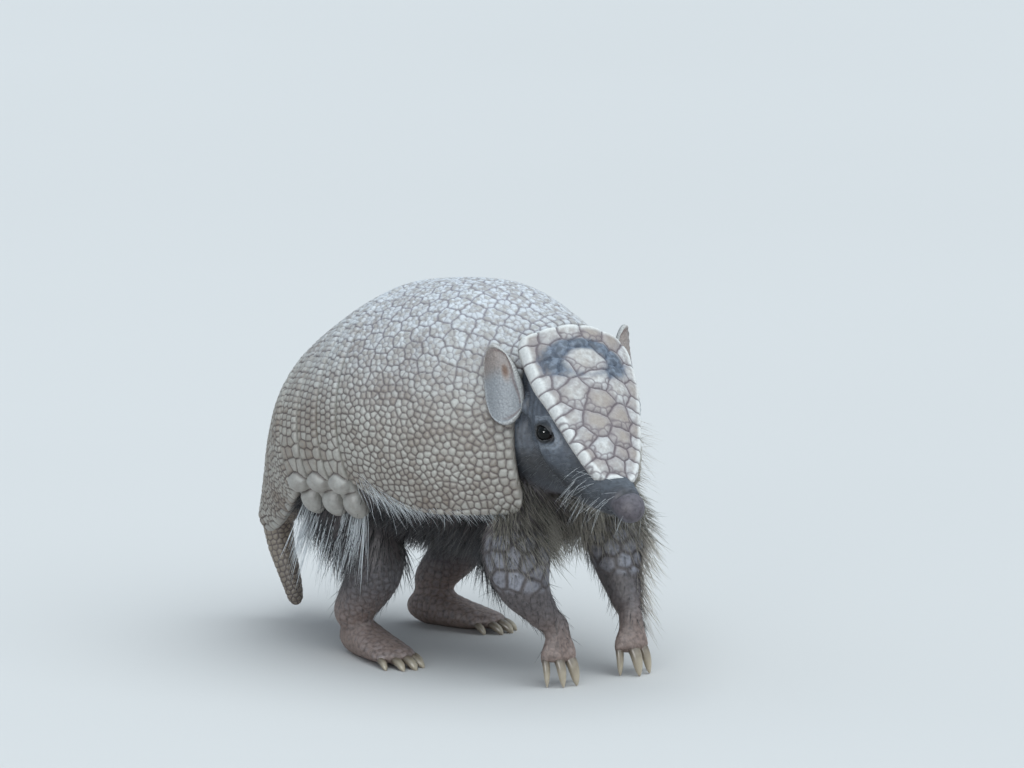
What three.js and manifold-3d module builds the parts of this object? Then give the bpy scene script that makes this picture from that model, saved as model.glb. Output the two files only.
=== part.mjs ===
// A southern three-banded armadillo, life size, walking with its head turned to its right.
// Millimetres. +X is the way the animal faces, +Y its left, +Z up; the floor is z = 0.
// Flesh parts are sphere grids pulled over a spine, plates are box grids wrapped on a surface,
// and each part is cut back from its neighbours by a thin gap.
import * as THREE from "three";
import { mergeVertices } from "three/addons/utils/BufferGeometryUtils.js";
import Module from "manifold-3d";

const wasm = await Module();
wasm.setup();

// ---------- driving dimensions ----------
const CENTRE_X = 25.9; // of the whole animal, which the model is moved back by
const GAP = 0.35; // left between neighbouring parts
const BELLY = 44; // height of the belly above the floor

// The shell. Stations front to rear: a point of the back, a point of the lower edge, half width.
const SHELL = [
  { u: 0.0, backX: 67, backZ: 133, edgeX: 76, edgeZ: 65.5, half: 36 },
  { u: 0.25, backX: 27, backZ: 145, edgeX: 44, edgeZ: 63.5, half: 53 },
  { u: 0.5, backX: -4, backZ: 142, edgeX: 9, edgeZ: 66, half: 59.5 },
  { u: 0.69, backX: -36, backZ: 124, edgeX: -24, edgeZ: 62, half: 56 },
  { u: 0.8, backX: -54, backZ: 104, edgeX: -39, edgeZ: 53, half: 45 },
  { u: 0.9, backX: -65, backZ: 77, edgeX: -53, edgeZ: 44, half: 34.5 },
  { u: 1.0, backX: -74, backZ: 51, edgeX: -65, edgeZ: 39, half: 26 },
];
const MARGIN_TURN = 119; // degrees that a section turns through from back to edge
const PLATE_THICK = 3.2;
const LINING = 1.1; // left between the plates and the trunk below them
// Where each plate lies along u, how far round it reaches, and its grid.
const PLATES = [
  { name: "shell_shoulder", from: 0, to: 0.5, reach: 1, along: 11, across: 22 },
  { name: "shell_band_1", from: 0.503, to: 0.564, reach: 1.01, along: 1, across: 20 },
  { name: "shell_band_2", from: 0.567, to: 0.628, reach: 1.01, along: 1, across: 20 },
  { name: "shell_band_3", from: 0.631, to: 0.692, reach: 1.01, along: 1, across: 20 },
  { name: "shell_hip", from: 0.695, to: 1, reach: 1, along: 7, across: 20 },
];
// The shoulder shield's lower corners are rounded off over a part of u, by a part of its reach.
const FRONT_CORNER = { over: 0.05, by: 0.09 };
const REAR_CORNER = { over: 0.16, by: 0.1 };

// The head's own frame: x runs down the head shield from the middle of its rear edge, y to the
// animal's left, z out of the shield.
const HEAD = { at: [82.5, -9.3, 137], yaw: -30.9, pitch: 45.5, roll: -10.6 };
const SHIELD = { length: 71, thick: 2.6, arch: 2.2, camber: 6.8, cornerBack: 3 };
const SHIELD_WIDTH = [
  { t: 0, half: 21 },
  { t: 0.05, half: 22.3 },
  { t: 0.12, half: 22.6 },
  { t: 0.35, half: 21.6 },
  { t: 0.5, half: 19 },
  { t: 0.65, half: 16.4 },
  { t: 0.9, half: 10.6 },
  { t: 0.97, half: 8 },
  { t: 1, half: 5 },
];
const EYE = { x: 41, y: 15.2, z: -15.8, radius: 4.1 };
const EAR = { half: 7.4, thick: 1.3, cup: 3.4, blunt: 0.5 };
const EARS = [
  {
    name: "ear_right",
    lobe: [31, -26, -26],
    tip: [2.6, -31, -14.6],
    face: [0.36, -0.71, 0.58],
    root: [25, -15, -20],
  },
  {
    name: "ear_left",
    lobe: [25, 28, -26],
    tip: [-7.5, 28, -10.5],
    face: [0.36, 0.71, 0.58],
    root: [21, 14, -19],
  },
];

// Flesh, as rows of [x, y, z, half width, half height above, half height below] along a spine.
const HEAD_ROWS = [
  [1, 0, -17, 16, 14, 16],
  [20, 0, -17, 19.5, 14, 18],
  [42, 0, -16, 18.6, 12.4, 17.5],
  [58, 0, -12, 13, 8.6, 15.5],
  [72, 0, -6, 8.8, 5.4, 10.5],
  [81, 0, -0.5, 7.4, 6, 8],
  [91, 0, 3.8, 7, 6.2, 7.4],
];
const NECK_ROWS = [
  [44, 2, 96, 26, 28, 30],
  [60, 0, 100, 25, 26, 32],
  [76, -8, 104, 21, 23, 34],
  [88, -14, 107, 17, 19, 30],
];
const CHEST_ROWS = [
  [40, 0, 70, 30, 20, 22],
  [60, 0, 70, 26, 20, 21],
  [76, -2, 72, 19, 16, 19],
];
const TAIL_ROWS = [
  [-66, 0, 52, 9, 8],
  [-78, 0, 46.5, 8, 7],
  [-83.5, 0, 38, 6.2, 6],
  [-82, 0, 29, 5.3, 5.2],
  [-78.5, 0, 20, 4.5, 4.4],
  [-75.5, 0, 12, 3.6, 3.5],
  [-73.5, 0, 5.5, 2.4, 2.4],
];
const LEGS = {
  foreleg_right: [
    [57, -18, 80, 10, 12],
    [64, -24, 64, 10, 13],
    [68.5, -30.5, 50, 12, 14],
    [72, -29.5, 38, 10, 11],
    [77, -25, 28, 6.6, 7.2],
    [80.5, -21, 20, 5.2, 5.4],
  ],
  foreleg_left: [
    [57, 18, 80, 10, 12],
    [64, 21, 64, 10, 13],
    [70, 23, 50, 11, 12],
    [75, 21, 38, 8.6, 9.6],
    [81.5, 18, 28, 6.4, 7],
    [86.5, 15, 20, 5.2, 5.4],
  ],
  hindleg_right: [
    [-28, -26, 66, 18, 20],
    [-8, -33, 52, 15, 16],
    [2, -36, 37, 11, 12],
    [-9, -34, 21, 8, 9],
    [-18, -32.5, 11, 6.8, 7.2],
  ],
  hindleg_left: [
    [-34, 24, 66, 18, 20],
    [-24, 31, 52, 15, 16],
    [-16, 34, 37, 11, 12],
    [-27, 32, 21, 8, 9],
    [-36, 30.5, 11, 6.8, 7.2],
  ],
};

// Feet in their own frame: x forward, y to the outer side, z up from the floor. A forefoot
// stands on the tips of its four claws, a hind foot flat on its sole.
const FOREFOOT = {
  rows: [
    [-1.6, -0.4, 28, 4.8, 5.2],
    [0, 0, 18, 5.4, 5],
    [0.8, 0, 8.5, 6.6, 4.2],
  ],
  claws: [
    { from: [-0.4, -6.2, 11], to: [2, -8, 0], thick: 1.7 },
    { from: [2.8, -2.5, 11.5], to: [7.4, -3, 0], thick: 2.5 },
    { from: [2.6, 2.4, 11.5], to: [6.6, 3.1, 0], thick: 2.1 },
    { from: [-0.8, 5.8, 11], to: [2.4, 7.6, 0], thick: 1.6 },
  ],
};
const HINDFOOT = {
  rows: [
    [-27, -3, 6, 5.4, 7, 7],
    [-14, -2.2, 7, 7, 8, 8],
    [0, -1, 5.2, 9.4, 5.2, 6],
    [15, 0, 4, 9, 3.6, 4.6],
  ],
  claws: [
    { from: [9, -7.6, 3.6], to: [15, -9.4, 0], thick: 1.6 },
    { from: [13, -4.2, 3.8], to: [20.5, -5.2, 0], thick: 1.9 },
    { from: [14, -0.2, 4], to: [22, -0.4, 0], thick: 2.1 },
    { from: [13, 3.8, 3.8], to: [20.5, 4.6, 0], thick: 1.9 },
    { from: [9, 7.4, 3.6], to: [15, 9, 0], thick: 1.6 },
  ],
};
const FEET = [
  { name: "forefoot_right", leg: "foreleg_right", at: [81, -20], turn: -6, outer: -1, kind: FOREFOOT },
  { name: "forefoot_left", leg: "foreleg_left", at: [88, 14], turn: -4, outer: 1, kind: FOREFOOT },
  { name: "hindfoot_right", leg: "hindleg_right", at: [4, -35.5], turn: -8, outer: -1, kind: HINDFOOT },
  { name: "hindfoot_left", leg: "hindleg_left", at: [-14, 33.5], turn: 8, outer: 1, kind: HINDFOOT },
];

const LOOKS = {
  scute: { color: 0xb9a98a, roughness: 0.55 },
  ivory: { color: 0xcdbd9c, roughness: 0.5 },
  face: { color: 0x4f4a4c, roughness: 0.75 },
  hide: { color: 0x4a423c, roughness: 0.85 },
  leg: { color: 0x554b48, roughness: 0.8 },
  ear: { color: 0x8d8a90, roughness: 0.7 },
  tail: { color: 0x8f7f68, roughness: 0.65 },
  eye: { color: 0x0c0a0a, roughness: 0.12 },
  claw: { color: 0x6b5a48, roughness: 0.45 },
};

// ---------- small tools ----------
const V = (x, y, z) => new THREE.Vector3(x, y, z);
const { lerp, degToRad } = THREE.MathUtils;
const LEFTWARD = V(0, 1, 0);

// A smooth curve through the named column of a table of stations, without overshoot.
function column(table, key, x, value) {
  const last = table.length - 1;
  const slope = (i) => (table[i + 1][value] - table[i][value]) / (table[i + 1][key] - table[i][key]);
  const tangent = (i) => {
    if (i === 0) return slope(0);
    if (i === last) return slope(last - 1);
    const a = slope(i - 1);
    const b = slope(i);
    return a * b <= 0 ? 0 : (2 * a * b) / (a + b);
  };
  let i = 0;
  while (i < last - 1 && x > table[i + 1][key]) i++;
  const width = table[i + 1][key] - table[i][key];
  const t = (x - table[i][key]) / width;
  const t2 = t * t;
  const t3 = t2 * t;
  return (
    (2 * t3 - 3 * t2 + 1) * table[i][value] +
    (t3 - 2 * t2 + t) * width * tangent(i) +
    (3 * t2 - 2 * t3) * table[i + 1][value] +
    (t3 - t2) * width * tangent(i + 1)
  );
}

// A geometry with each vertex moved by map, as one closed solid.
function solidFrom(geometry, map) {
  const p = geometry.getAttribute("position");
  for (let i = 0; i < p.count; i++) {
    const q = map(V(p.getX(i), p.getY(i), p.getZ(i)));
    p.setXYZ(i, q.x, q.y, q.z);
  }
  geometry.deleteAttribute("normal");
  geometry.deleteAttribute("uv");
  const merged = mergeVertices(geometry, 1e-4);
  const vertProperties = merged.attributes.position.array;
  const make = (triVerts) => new wasm.Manifold(new wasm.Mesh({ numProp: 3, vertProperties, triVerts }));
  const triVerts = new Uint32Array(merged.index.array);
  const solid = make(triVerts);
  if (solid.volume() > 0) return solid;
  for (let i = 0; i < triVerts.length; i += 3) {
    [triVerts[i + 1], triVerts[i + 2]] = [triVerts[i + 2], triVerts[i + 1]];
  }
  return make(triVerts);
}

// The largest body of what is left of a solid once others are cut from it.
function cutBy(solid, others) {
  let left = solid;
  for (const other of others) left = left.subtract(other);
  return left.decompose().sort((a, b) => b.volume() - a.volume())[0];
}

// A quarter circle: how wide a rounded end is at a part of its own length from the tip.
function roundEnd(part) {
  const t = 1 - Math.min(Math.max(part, 0), 1);
  return t > 1 - 1e-9 ? 0 : Math.sqrt(1 - t * t);
}

// A body over rows along a spine, with round ends that each take the share cap of its length.
function limb(rows, { sides = 10, steps = 10, cap = 0.16, side = LEFTWARD, grow = 0 } = {}) {
  const stations = rows.map(([x, y, z, wide, up = wide, down = up], i) => {
    return { t: i / (rows.length - 1), x, y, z, wide, up, down };
  });
  const pick = (t, value) => column(stations, "t", t, value);
  const spine = (t) => V(pick(t, "x"), pick(t, "y"), pick(t, "z"));
  return solidFrom(new THREE.SphereGeometry(1, sides, steps), (p) => {
    const t = (1 - p.y) / 2;
    const ring = Math.min(roundEnd(t / cap), roundEnd((1 - t) / cap));
    const around = Math.atan2(p.z, p.x);
    const tangent = spine(t + 0.01).sub(spine(t - 0.01)).normalize();
    const across = side.clone().addScaledVector(tangent, -side.dot(tangent)).normalize();
    const over = tangent.clone().cross(across).normalize();
    const tall = Math.sin(around) > 0 ? pick(t, "up") : pick(t, "down");
    return spine(t)
      .addScaledVector(tangent, -grow * p.y)
      .addScaledVector(across, Math.cos(around) * ring * (pick(t, "wide") + grow))
      .addScaledVector(over, Math.sin(around) * ring * (tall + grow));
  });
}

// ---------- the shell ----------
// A point of the shell's outer surface; v runs from -1 at the right edge to 1 at the left.
function shellSkin(u, v) {
  const at = (value) => column(SHELL, "u", u, value);
  const whole = degToRad(MARGIN_TURN);
  const down = (1 - Math.cos(v * whole)) / (1 - Math.cos(whole));
  return V(
    lerp(at("backX"), at("edgeX"), down),
    at("half") * Math.sin(v * whole),
    lerp(at("backZ"), at("edgeZ"), down),
  );
}

// The same point, pushed in along the normal.
function shellPoint(u, v, depth) {
  const e = 1e-3;
  const alongU = shellSkin(u + e, v).sub(shellSkin(u - e, v));
  const alongV = shellSkin(u, v + e).sub(shellSkin(u, v - e));
  return shellSkin(u, v).addScaledVector(alongU.cross(alongV).normalize(), depth);
}

// How far round the shoulder shield reaches, as a part of its side.
function shoulderReach(u) {
  const front = FRONT_CORNER.by * (1 - roundEnd(u / FRONT_CORNER.over));
  const rear = REAR_CORNER.by * (1 - roundEnd((0.5 - u) / REAR_CORNER.over));
  return 1 - front - rear;
}

function plateSolid({ name, from, to, reach, along, across }, grow = 0) {
  const growU = grow / 170;
  const growV = grow / 100;
  return solidFrom(new THREE.BoxGeometry(1, 1, 1, along, across, 1), (p) => {
    const corners = name === "shell_shoulder" ? shoulderReach(lerp(from, to, p.x + 0.5)) : 1;
    const u = lerp(from - growU, to + growU, p.x + 0.5);
    const v = p.y * 2 * (reach * corners + growV);
    return shellPoint(u, v, lerp(-grow, PLATE_THICK + grow, 0.5 - p.z));
  });
}

// ---------- the trunk ----------
// The trunk fills the shell and closes below in the belly.
function trunkSolid(grow = 0) {
  const roof = 0.88; // how far round the shell its sides reach
  const roofShare = 0.7; // the part of each ring that lies under the shell
  const depth = PLATE_THICK + LINING - grow;
  return solidFrom(new THREE.SphereGeometry(1, 22, 13), (p) => {
    const polar = Math.acos(THREE.MathUtils.clamp(p.y, -1, 1)) / Math.PI;
    const u = lerp(0.03, 0.965, polar);
    const ring = Math.min(roundEnd(polar / 0.22), roundEnd((1 - polar) / 0.22));
    const around = Math.atan2(p.x, p.z) / Math.PI; // 0 over the back, +-1 under the belly
    const side = Math.sign(around);
    const edge = shellPoint(u, roof, depth);
    const top = shellPoint(u, 0, depth);
    const centre = V((top.x + edge.x) / 2, 0, lerp(edge.z, top.z, 0.4));
    const low = (Math.abs(around) - roofShare) / (1 - roofShare);
    if (low <= 0) {
      return centre.lerp(shellPoint(u, (around / roofShare) * roof, depth), ring);
    }
    const turn = (low * Math.PI) / 2;
    const bottom = Math.min(BELLY, edge.z - 4) - grow;
    const z = lerp(edge.z, bottom, Math.sin(turn));
    return centre.lerp(V(edge.x, side * edge.y * Math.cos(turn), z), ring);
  });
}

// ---------- the head ----------
const headTurn = new THREE.Euler(...[HEAD.roll, HEAD.pitch, HEAD.yaw].map(degToRad), "ZYX");
const headFrame = new THREE.Matrix4().makeRotationFromEuler(headTurn).setPosition(...HEAD.at);
const inHead = (x, y, z) => V(x, y, z).applyMatrix4(headFrame);

function headSolid(grow = 0) {
  const rows = HEAD_ROWS.map(([x, y, z, ...radii]) => [...inHead(x, y, z), ...radii]);
  const side = V(0, 1, 0).transformDirection(headFrame);
  return limb(rows, { sides: 16, steps: 15, cap: 0.09, side, grow });
}

// The plate on the head, arched along and across.
function shieldSolid(grow = 0) {
  const { length, thick, arch, camber, cornerBack } = SHIELD;
  return solidFrom(new THREE.BoxGeometry(1, 1, 1, 10, 8, 1), (p) => {
    const t = p.x + 0.5;
    const part = p.y * 2;
    const y = part * (column(SHIELD_WIDTH, "t", t, "half") + grow);
    const x = lerp(-grow, length + grow, t) + cornerBack * part * part * (1 - t) ** 4;
    const z = -arch * (2 * t - 1) ** 2 - camber * (y / 21) ** 2;
    return inHead(x, y, z + lerp(-thick - grow, grow, p.z + 0.5));
  });
}

function eyeSolid(side, grow = 0) {
  const centre = inHead(EYE.x, side * EYE.y, EYE.z);
  return solidFrom(new THREE.SphereGeometry(EYE.radius + grow, 10, 7), (p) => p.add(centre));
}

// A cupped ear: a bent leaf, with a short root that joins it to the head.
function earSolid({ lobe, tip, face, root }) {
  const low = inHead(...lobe);
  const up = inHead(...tip).sub(low);
  const out = V(...face).transformDirection(headFrame);
  out.addScaledVector(up, -out.dot(up) / up.lengthSq()).normalize();
  const across = up.clone().cross(out).normalize();
  const leaf = solidFrom(new THREE.BoxGeometry(1, 1, 1, 6, 8, 1), (p) => {
    const t = p.y + 0.5;
    const part = p.x * 2;
    const half = EAR.half * Math.sin(Math.PI * lerp(0.03, 0.97, t)) ** EAR.blunt;
    return low
      .clone()
      .addScaledVector(up, t)
      .addScaledVector(across, part * half)
      .addScaledVector(out, -EAR.cup * part * part + EAR.thick * p.z);
  });
  const start = low.clone().addScaledVector(up, 0.3).addScaledVector(out, -1.5);
  const end = inHead(...root);
  const middle = start.clone().lerp(end, 0.5);
  const stem = limb([[...start, 2.4, 3.6], [...middle, 3.2, 4.4], [...end, 4, 5]], {
    sides: 8,
    steps: 4,
    cap: 0.3,
  });
  return leaf.add(stem);
}

// ---------- parts ----------
const model = new THREE.Group();
const SIDES = [["right", -1], ["left", 1]];

function part(name, solid, look) {
  const { vertProperties, triVerts } = solid.getMesh();
  const geometry = new THREE.BufferGeometry();
  geometry.setAttribute("position", new THREE.BufferAttribute(vertProperties, 3));
  geometry.setIndex(new THREE.BufferAttribute(triVerts, 1));
  geometry.computeVertexNormals();
  const mesh = new THREE.Mesh(geometry, new THREE.MeshStandardMaterial({ ...LOOKS[look], metalness: 0 }));
  mesh.name = name;
  model.add(mesh);
}

// Shell, trunk and neck.
for (const plate of PLATES) part(plate.name, plateSolid(plate), "scute");
const aroundPlates = PLATES.map((plate) => plateSolid(plate, GAP));
const chestSolid = (grow) => limb(CHEST_ROWS, { sides: 12, steps: 7, cap: 0.35, grow });
const aroundTrunk = trunkSolid(GAP).add(chestSolid(GAP));
part("trunk", cutBy(trunkSolid().add(chestSolid(0)), aroundPlates), "hide");
const neckSolid = (grow) => limb(NECK_ROWS, { sides: 14, steps: 7, cap: 0.3, grow });
const aroundNeck = neckSolid(GAP);
const aroundHead = headSolid(GAP);
const aroundShield = shieldSolid(GAP);
part("neck", cutBy(neckSolid(0), [...aroundPlates, aroundTrunk, aroundHead, aroundShield]), "hide");

// Head.
part("head_shield", shieldSolid(), "ivory");
const sockets = SIDES.map(([, side]) => eyeSolid(side, GAP));
part("head", cutBy(headSolid(), [aroundShield, ...aroundPlates, aroundTrunk, ...sockets]), "face");
for (const [name, side] of SIDES) part(`eye_${name}`, eyeSolid(side), "eye");
for (const ear of EARS) {
  part(ear.name, cutBy(earSolid(ear), [aroundHead, aroundShield, aroundNeck, ...aroundPlates]), "ear");
}

// Legs and tail.
const aroundLeg = {};
for (const [name, rows] of Object.entries(LEGS)) {
  part(name, cutBy(limb(rows), [...aroundPlates, aroundTrunk, aroundNeck]), "leg");
  aroundLeg[name] = limb(rows, { grow: GAP });
}
const tailWhole = limb(TAIL_ROWS, { sides: 9, steps: 12, cap: 0.08 });
part("tail", cutBy(tailWhole, [...aroundPlates, aroundTrunk]), "tail");

// Feet and claws, cut flat by the floor.
const floor = solidFrom(new THREE.BoxGeometry(400, 200, 40), (p) => p.add(V(0, 0, -20)));

function clawSolid(root, tip, thick) {
  const middle = [lerp(root[0], tip[0], 0.62), lerp(root[1], tip[1], 0.55), lerp(root[2], tip[2], 0.42)];
  const rows = [
    [...root, thick],
    [...middle, thick * 0.9],
    [...tip, thick * 0.5],
  ];
  return limb(rows, { sides: 6, steps: 4, cap: 0.25 });
}

for (const { name, leg, at, turn, outer, kind } of FEET) {
  const place = ([x, y, z]) => {
    const p = V(x, y * outer, 0).applyAxisAngle(V(0, 0, 1), degToRad(turn));
    return [at[0] + p.x, at[1] + p.y, z];
  };
  const rows = kind.rows.map((row) => [...place(row), ...row.slice(3)]);
  part(name, cutBy(limb(rows, { steps: 7, cap: 0.3 }), [aroundLeg[leg], floor]), "leg");
  const aroundFoot = limb(rows, { steps: 7, cap: 0.3, grow: GAP });
  kind.claws.forEach(({ from, to, thick }, i) => {
    const claw = cutBy(clawSolid(place(from), place(to), thick), [aroundFoot, floor]);
    part(`${name.replace("foot", "claw")}_${i + 1}`, claw, "claw");
  });
}

model.position.x = -CENTRE_X;
export default model;
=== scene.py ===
import math

import bmesh
import bpy
import numpy as np
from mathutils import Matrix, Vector, kdtree, noise


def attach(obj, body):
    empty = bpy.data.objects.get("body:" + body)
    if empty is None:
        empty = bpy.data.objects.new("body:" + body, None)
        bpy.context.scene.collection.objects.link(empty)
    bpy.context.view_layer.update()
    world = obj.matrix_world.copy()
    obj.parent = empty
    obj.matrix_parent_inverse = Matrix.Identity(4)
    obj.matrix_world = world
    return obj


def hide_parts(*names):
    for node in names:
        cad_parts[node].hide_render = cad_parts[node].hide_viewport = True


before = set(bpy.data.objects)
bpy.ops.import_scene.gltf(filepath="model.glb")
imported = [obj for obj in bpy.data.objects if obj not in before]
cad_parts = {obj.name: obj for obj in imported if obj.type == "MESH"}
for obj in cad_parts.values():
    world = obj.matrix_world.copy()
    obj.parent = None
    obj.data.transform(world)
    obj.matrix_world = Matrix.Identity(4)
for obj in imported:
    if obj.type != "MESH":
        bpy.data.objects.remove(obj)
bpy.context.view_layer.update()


# ---------- measures of the animal, in millimetres, with +X forward, +Y its left and +Z up ----------
MM = 0.001
CENTRE_X = 25.9  # the frame's origin lies this far forward of the animal's own
SIDES = (("right", -1), ("left", 1))
SEED = 11

# Stations of the shell, front to rear: u, back x and z, lower edge x and z, half width.
SHELL = (
    (0.0, 67, 133, 76, 65.5, 36),
    (0.25, 27, 145, 44, 63.5, 53),
    (0.5, -4, 142, 9, 66, 59.5),
    (0.69, -36, 124, -24, 62, 56),
    (0.8, -54, 104, -39, 53, 45),
    (0.9, -65, 77, -53, 44, 34.5),
    (1.0, -74, 51, -65, 39, 26),
)
MARGIN_TURN = math.radians(119)  # the turn of a section from back to lower edge
PLATE_THICK = 3.2
BAND_END = 1.095  # the bands hang a little lower than the shields
BANDS = ((0.503, 0.564), (0.567, 0.628), (0.631, 0.692))
HIP_START = 0.695
BELLY = 44

# The head's own frame: x down the head shield, y to the left, z out of the shield.
HEAD_AT = (82.5, -9.3, 137)
HEAD_TURN = (-30.9, 45.5, -10.6)  # yaw, pitch and roll in degrees
SHIELD_LENGTH = 71
SHIELD_THICK = 2.6
SHIELD_HALF = (
    (0, 21),
    (0.05, 22.3),
    (0.12, 22.6),
    (0.35, 21.6),
    (0.5, 19),
    (0.65, 16.4),
    (0.9, 10.6),
    (0.97, 8),
    (1, 5),
)
EYE = {"x": 40, "y": 15.8, "z": -17.0, "radius": 4.1}
EARS = {
    "right": {
        "lobe": (31, -26, -26),
        "tip": (2.6, -31, -14.6),
        "face": (0.36, -0.71, 0.58),
        "root": (25, -15, -20),
    },
    "left": {
        "lobe": (25, 28, -26),
        "tip": (-9, 26, -12.5),
        "face": (0.6, 0.48, 0.64),
        "root": (21, 14, -19),
    },
}
EAR_HALF = 7.4
EAR_CUP = 3.4

# Flesh: rows of x, y, z, half width, half height above and below, along a spine.
HEAD_ROWS = (
    (1, 0, -17, 16, 14, 16),
    (20, 0, -17, 19.5, 14, 18),
    (42, 0, -16, 18.6, 12.4, 17.5),
    (58, 0, -12, 13, 8.6, 15.5),
    (72, 0, -6, 8.8, 5.4, 10.5),
    (80, 0, -1, 6.5, 5.6, 7.6),
    (91, 0, 3.4, 5.6, 5.4, 6.4),
)
NECK_ROWS = (
    (44, 2, 96, 32, 28, 30),
    (60, -3, 99, 32, 26, 32),
    (74, -9, 102, 29, 23, 34),
    (86, -15, 105, 22, 19, 30),
)
CHEST_ROWS = ((40, 0, 70, 30, 20, 22), (60, 0, 70, 26, 20, 21), (76, -2, 72, 19, 16, 19))
TAIL_ROWS = (
    (-66, 0, 52, 9, 8),
    (-78, 0, 46.5, 8, 7),
    (-83.5, 0, 38, 6.2, 6),
    (-82, 0, 29, 5.3, 5.2),
    (-78.5, 0, 20, 4.5, 4.4),
    (-75.5, 0, 12, 3.6, 3.5),
    (-73.5, 0, 5.5, 2.4, 2.4),
)
LEGS = {
    "foreleg_right": (
        (57, -18, 80, 10, 12),
        (64, -24, 64, 10, 13),
        (68.5, -30.5, 50, 12, 14),
        (72, -29.5, 38, 10, 11),
        (77, -25, 28, 6.6, 7.2),
        (80.5, -21, 20, 5.2, 5.4),
    ),
    "foreleg_left": (
        (57, 18, 80, 10, 12),
        (64, 21, 64, 10, 13),
        (70, 23, 50, 11, 12),
        (75, 21, 38, 8.6, 9.6),
        (81.5, 18, 28, 6.4, 7),
        (86.5, 15, 20, 5.2, 5.4),
    ),
    "hindleg_right": (
        (-28, -26, 66, 18, 20),
        (-8, -33, 52, 15, 16),
        (2, -36, 37, 11, 12),
        (-9, -34, 21, 8, 9),
        (-18, -32.5, 11, 6.8, 7.2),
    ),
    "hindleg_left": (
        (-34, 24, 66, 18, 20),
        (-24, 31, 52, 15, 16),
        (-16, 34, 37, 11, 12),
        (-27, 32, 21, 8, 9),
        (-36, 30.5, 11, 6.8, 7.2),
    ),
}
# Feet in their own frame: x forward, y to the outer side, z up from the floor.
FOREFOOT_ROWS = ((-1.6, -0.4, 28, 4.8, 5.2), (0, 0, 18, 5.4, 5), (0.8, 0, 8.5, 6.6, 4.2))
HINDFOOT_ROWS = (
    (-27, -3, 6, 5.4, 7, 7),
    (-14, -2.2, 7, 7, 8, 8),
    (0, -1, 5.2, 9.4, 5.2, 6),
    (15, 0, 4, 9, 3.6, 4.6),
)
FORECLAWS = (
    ((-0.4, -6.2, 11), (2, -8, 0), 1.7),
    ((2.8, -2.5, 11.5), (7.4, -3, 0), 2.5),
    ((2.6, 2.4, 11.5), (6.6, 3.1, 0), 2.1),
    ((-0.8, 5.8, 11), (2.4, 7.6, 0), 1.6),
)
HINDCLAWS = (
    ((9, -7.6, 3.6), (15, -9.4, 0), 1.6),
    ((13, -4.2, 3.8), (20.5, -5.2, 0), 1.9),
    ((14, -0.2, 4), (22, -0.4, 0), 2.1),
    ((13, 3.8, 3.8), (20.5, 4.6, 0), 1.9),
    ((9, 7.4, 3.6), (15, 9, 0), 1.6),
)
FEET = {
    "forefoot_right": {"at": (81, -20), "turn": -6, "outer": -1, "rows": FOREFOOT_ROWS, "claws": FORECLAWS},
    "forefoot_left": {"at": (88, 14), "turn": -4, "outer": 1, "rows": FOREFOOT_ROWS, "claws": FORECLAWS},
    "hindfoot_right": {"at": (4, -35.5), "turn": -8, "outer": -1, "rows": HINDFOOT_ROWS, "claws": HINDCLAWS},
    "hindfoot_left": {"at": (-14, 33.5), "turn": 8, "outer": 1, "rows": HINDFOOT_ROWS, "claws": HINDCLAWS},
}


# ---------- plain mathematics on arrays ----------


def column(table, x):
    """Smooth curves, without overshoot, through every column of a table of stations at the places x."""
    table = np.asarray(table, float)
    key, values = table[:, 0], table[:, 1:]
    step = np.diff(key)[:, None]
    slope = np.diff(values, axis=0) / step
    before, after = slope[:-1], slope[1:]
    total = np.where(before * after > 0, before + after, 1)
    inner = np.where(before * after > 0, 2 * before * after / total, 0)
    tangent = np.vstack([slope[:1], inner, slope[-1:]])
    x = np.atleast_1d(np.asarray(x, float))
    i = np.clip(np.searchsorted(key, x) - 1, 0, len(key) - 2)
    width = step[i]
    t = (x - key[i])[:, None] / width
    rest = 1 - t
    ends = (1 + 2 * t) * rest**2 * values[i] + t * t * (3 - 2 * t) * values[i + 1]
    return ends + width * (t * rest**2 * tangent[i] - t * t * rest * tangent[i + 1])


def smooth(x, low=0.0, high=1.0):
    """0 below low, 1 above high and a smooth step between them."""
    t = np.clip((x - low) / (high - low), 0, 1)
    return t * t * (3 - 2 * t)


def window(x, low, high, soft):
    """1 between low and high, with soft sides."""
    return smooth(x, low - soft, low + soft) * (1 - smooth(x, high - soft, high + soft))


def hump(x, middle, width):
    """A smooth hump of height 1 round the middle."""
    return np.exp(-(((x - middle) / width) ** 2))


def quarter_round(part):
    """A quarter circle from 0 at the rim to 1."""
    return np.sqrt(np.maximum(1 - (1 - np.clip(part, 0, 1)) ** 2, 0))


def unit(vectors):
    """The same directions with a length of 1."""
    return vectors / np.maximum(np.linalg.norm(vectors, axis=-1, keepdims=True), 1e-9)


def across_to(axis, vectors):
    """What is left of the vectors at right angles to the axis, as unit vectors."""
    return unit(vectors - axis * (vectors * axis).sum(-1, keepdims=True))


def ripple(points, scale):
    """Smooth noise from about -1 to 1 at each point, with lumps of about the given size."""
    return np.array([noise.noise(Vector(p) / scale) for p in points])


def turn_round(a, b):
    """The turn of each place round an axis, from 0 to 1."""
    return np.arctan2(a, b) / math.tau + 0.5


def turned(yaw, pitch, roll):
    """The axes of something turned by these degrees, as columns."""
    y, p, r = (math.radians(a) for a in (yaw, pitch, roll))
    about_z = np.array([[math.cos(y), -math.sin(y), 0], [math.sin(y), math.cos(y), 0], [0, 0, 1]])
    about_y = np.array([[math.cos(p), 0, math.sin(p)], [0, 1, 0], [-math.sin(p), 0, math.cos(p)]])
    about_x = np.array([[1, 0, 0], [0, math.cos(r), -math.sin(r)], [0, math.sin(r), math.cos(r)]])
    return about_z @ about_y @ about_x


HEAD_AXES = turned(*HEAD_TURN)


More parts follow.
